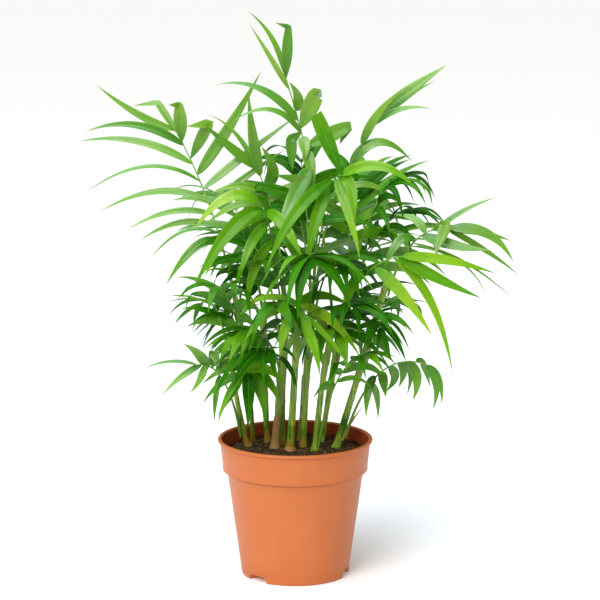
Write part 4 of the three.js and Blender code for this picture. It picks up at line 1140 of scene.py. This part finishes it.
# Each row is a number that the tree works out, how, and what from. The blade is a gutter on either side of
# its midrib, its thickness and pleats fade out where it is under 3 mm to a side, and the crest of a pleat is
# a little lighter than the rest, partly the vein's own paler green and partly painted sheen.
for label, operation, *terms in (
    ("off_midrib", "ABSOLUTE", "across"),
    ("gutter", "MULTIPLY", "off_midrib", "wide"),
    ("folded", "MULTIPLY", "gutter", "fold"),
    ("thick", "MULTIPLY", "side", "thickness"),
    ("proud", "MULTIPLY", "ridge", "pleat"),
    ("relief", "ADD", "thick", "proud"),
    ("eased", "MULTIPLY", "relief", "full"),
    ("raised", "ADD", "folded", "eased"),
    # a lighter tint on pleat crests: partly vein colour, partly painted sheen
    ("streak", "MULTIPLY", "ridge", 0.8),
    ("streaked", "ADD", "tint", "streak"),
    ("dealt", "MAXIMUM", "streaked", 0.0),
):
    values = {place: known.get(term, term) for place, term in enumerate(terms)}
    known[label] = add(tree, "ShaderNodeMath", values, operation=operation).outputs[0]

# %% Place the blades and deal out their finishes
outwards = add(tree, "ShaderNodeVectorMath", {0: known["half"], "Scale": known["across"]}, operation="SCALE")
upwards = add(tree, "ShaderNodeVectorMath", {0: known["up"], "Scale": known["raised"]}, operation="SCALE")
reach = add(tree, "ShaderNodeVectorMath", {0: outwards.outputs[0], 1: upwards.outputs[0]}, operation="ADD")
spot = add(tree, "ShaderNodeVectorMath", {0: known["centre"], 1: reach.outputs[0]}, operation="ADD")
blade = add(tree, "GeometryNodeSetPosition", {"Geometry": swept.outputs[0], "Position": spot.outputs[0]})
shown = add(tree, "GeometryNodeRealizeInstances", {"Geometry": blade.outputs[0]}).outputs[0]
near = add(tree, "FunctionNodeCompare", {
    0: known["off_midrib"], 1: 0.1,
}, data_type="FLOAT", operation="LESS_THAN")
above = add(tree, "FunctionNodeCompare", {
    0: known["side"], 1: 0.0,
}, data_type="FLOAT", operation="GREATER_THAN")
for number, finishes in enumerate(leaf_finishes):
    ours = add(tree, "FunctionNodeCompare", {
        0: known["dealt"], 1: number - 0.5,
    }, data_type="FLOAT", operation="GREATER_THAN")
    upper = add(tree, "FunctionNodeBooleanMath", {0: ours.outputs[0], 1: above.outputs[0]}, operation="AND")
    vein = add(tree, "FunctionNodeBooleanMath", {0: ours.outputs[0], 1: near.outputs[0]}, operation="AND")
    for chosen, kind in ((ours, "under"), (upper, "upper"), (vein, "vein")):
        shown = add(tree, "GeometryNodeSetMaterial", {
            "Geometry": shown, "Selection": chosen.outputs[0], "Material": finishes[kind],
        }).outputs[0]
tree.links.new(shown, result)
blades = tree

# %% Grow the leaflets
PIECE = 210  # leaflets to a piece, which keeps each one under 200,000 triangles
leaf_pieces = []
for first in range(0, len(leaflets), PIECE):
    piece = lines_object(f"leaflets_{len(leaf_pieces) + 1}", leaflets[first:first + PIECE])
    mesh = grow(piece, blades, {"Section": section, "Thickness": 0.14 * MM, "Pleat": 0.1 * MM})
    plain(mesh)
    face_out(mesh, 50)
    leaf_pieces.append(piece)
    print(piece.name, triangles(mesh), "triangles,", len(mesh.materials), "finishes")
bpy.data.objects.remove(section)

# %% [markdown]
# ## Ribs and sheaths
# A frond's stalk ends in a sheath, a green tube that clasps the cane below it and stands a little off it
# further up. The oldest sheaths have dried to brown paper, and one old stalk stands bare on the right.

# %% Sweep the ribs
# how far up the cane from a frond's foot, and how far off the cane there
SHEATH = ((-24, -0.2), (-17, 0.25), (-9, 0.4), (-1, 0.75), (1.5, 0.1))
# how far into the cane and below its foot a frond's stalk runs on, and its radius there
STALK = ((1.9, 9, 0.9), (0.9, 4, 1.15))

rib_lines = []
sheath_lines = []
for name, own in FRONDS.items():
    handles = rib_handles(name)
    cane = CANES[name[0]]
    inwards = (cane_point(cane, own["height"]) - handles[0]).normalized()
    points = [handles[0] + inwards * inside - UP * below for inside, below, _ in STALK]
    radii = [radius * MM for *_, radius in STALK]
    for step in range(RIB["steps"] + 1):
        share = step / RIB["steps"]
        even = RIB["foot"] + (RIB["tip"] - RIB["foot"]) * share
        points.append(on_rib(handles, share))
        radii.append(even * (1 - RIB["slim"] * math.sin(math.pi * share)) * MM)
    rib_lines.append({"points": points, "radius": radii})
    heights = [own["height"] + step for step, _ in SHEATH]
    if heights[0] > CANE_FOOT:
        sheath_lines.append({
            "points": [cane_point(cane, height) for height in heights],
            "radius": [(cane_radius(cane, own["height"] + step) + off) * MM for step, off in SHEATH],
        })
ribs = sweep("frond_ribs", rib_lines, 10, rib_green)

# %% Sweep the sheaths
sheath_green = new_finish("pale_leaf_sheath", linear("#8aa63c"), 0.45, {"Specular IOR Level": 0.4})[0]
sheaths = sweep("leaf_sheaths", sheath_lines, 14, sheath_green)

# %% Dry sheaths and a dry stalk
# for each cane with a dry sheath, where the sheath ends and how far it stands off the cane at its foot
DRY = {"d": (127, 0.7), "f": (103, 0.3), "a": (101, 0.3)}
DRY_STEPS = 12
# the bare stalk's points and radii
BARE_STALK = [((37.5, 10.5, 105), 1.3), ((41, 10, 114), 1.1), ((47, 9, 124), 0.7), ((54, 8, 134), 0.2)]

dry_lines = []
for letter, (top, off) in DRY.items():
    cane = CANES[letter]
    dice = Dice(SEED["dry"] + ord(letter))
    points = []
    radii = []
    for step in range(DRY_STEPS + 1):
        height = CANE_FOOT - 0.9 + (top - CANE_FOOT) * step / DRY_STEPS
        points.append(cane_point(cane, height))
        loose_by = off * (1 - 0.6 * step / DRY_STEPS) + dice.spread(0.12)
        radii.append((cane_radius(cane, height) + loose_by) * MM)
    radii[-1] = cane_radius(cane, top) * 0.9 * MM
    dry_lines.append({"points": points, "radius": radii})
dry_lines.append({
    "points": [Vector(point) for point, _ in BARE_STALK], "radius": [radius * MM for _, radius in BARE_STALK],
})
papery = new_finish("dry_papery_sheath", linear("#a8844a"), 0.8)[0]
dry = sweep("dry_sheaths", dry_lines, 12, papery)

# %% [markdown]
# ## Putting it together
# Every piece rides on the one body and stands for the solids that it replaces.

# %% Tell the frame what each piece is
for piece in [pot, potting, canes, scars, sheaths, dry, ribs, *loose, *leaf_pieces]:
    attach(piece, "root")
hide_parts("pot")
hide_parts("potting_mix")
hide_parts(*[f"cane_{letter}" for letter in CANES])
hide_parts(*[f"frond_{name}" for name in FRONDS])
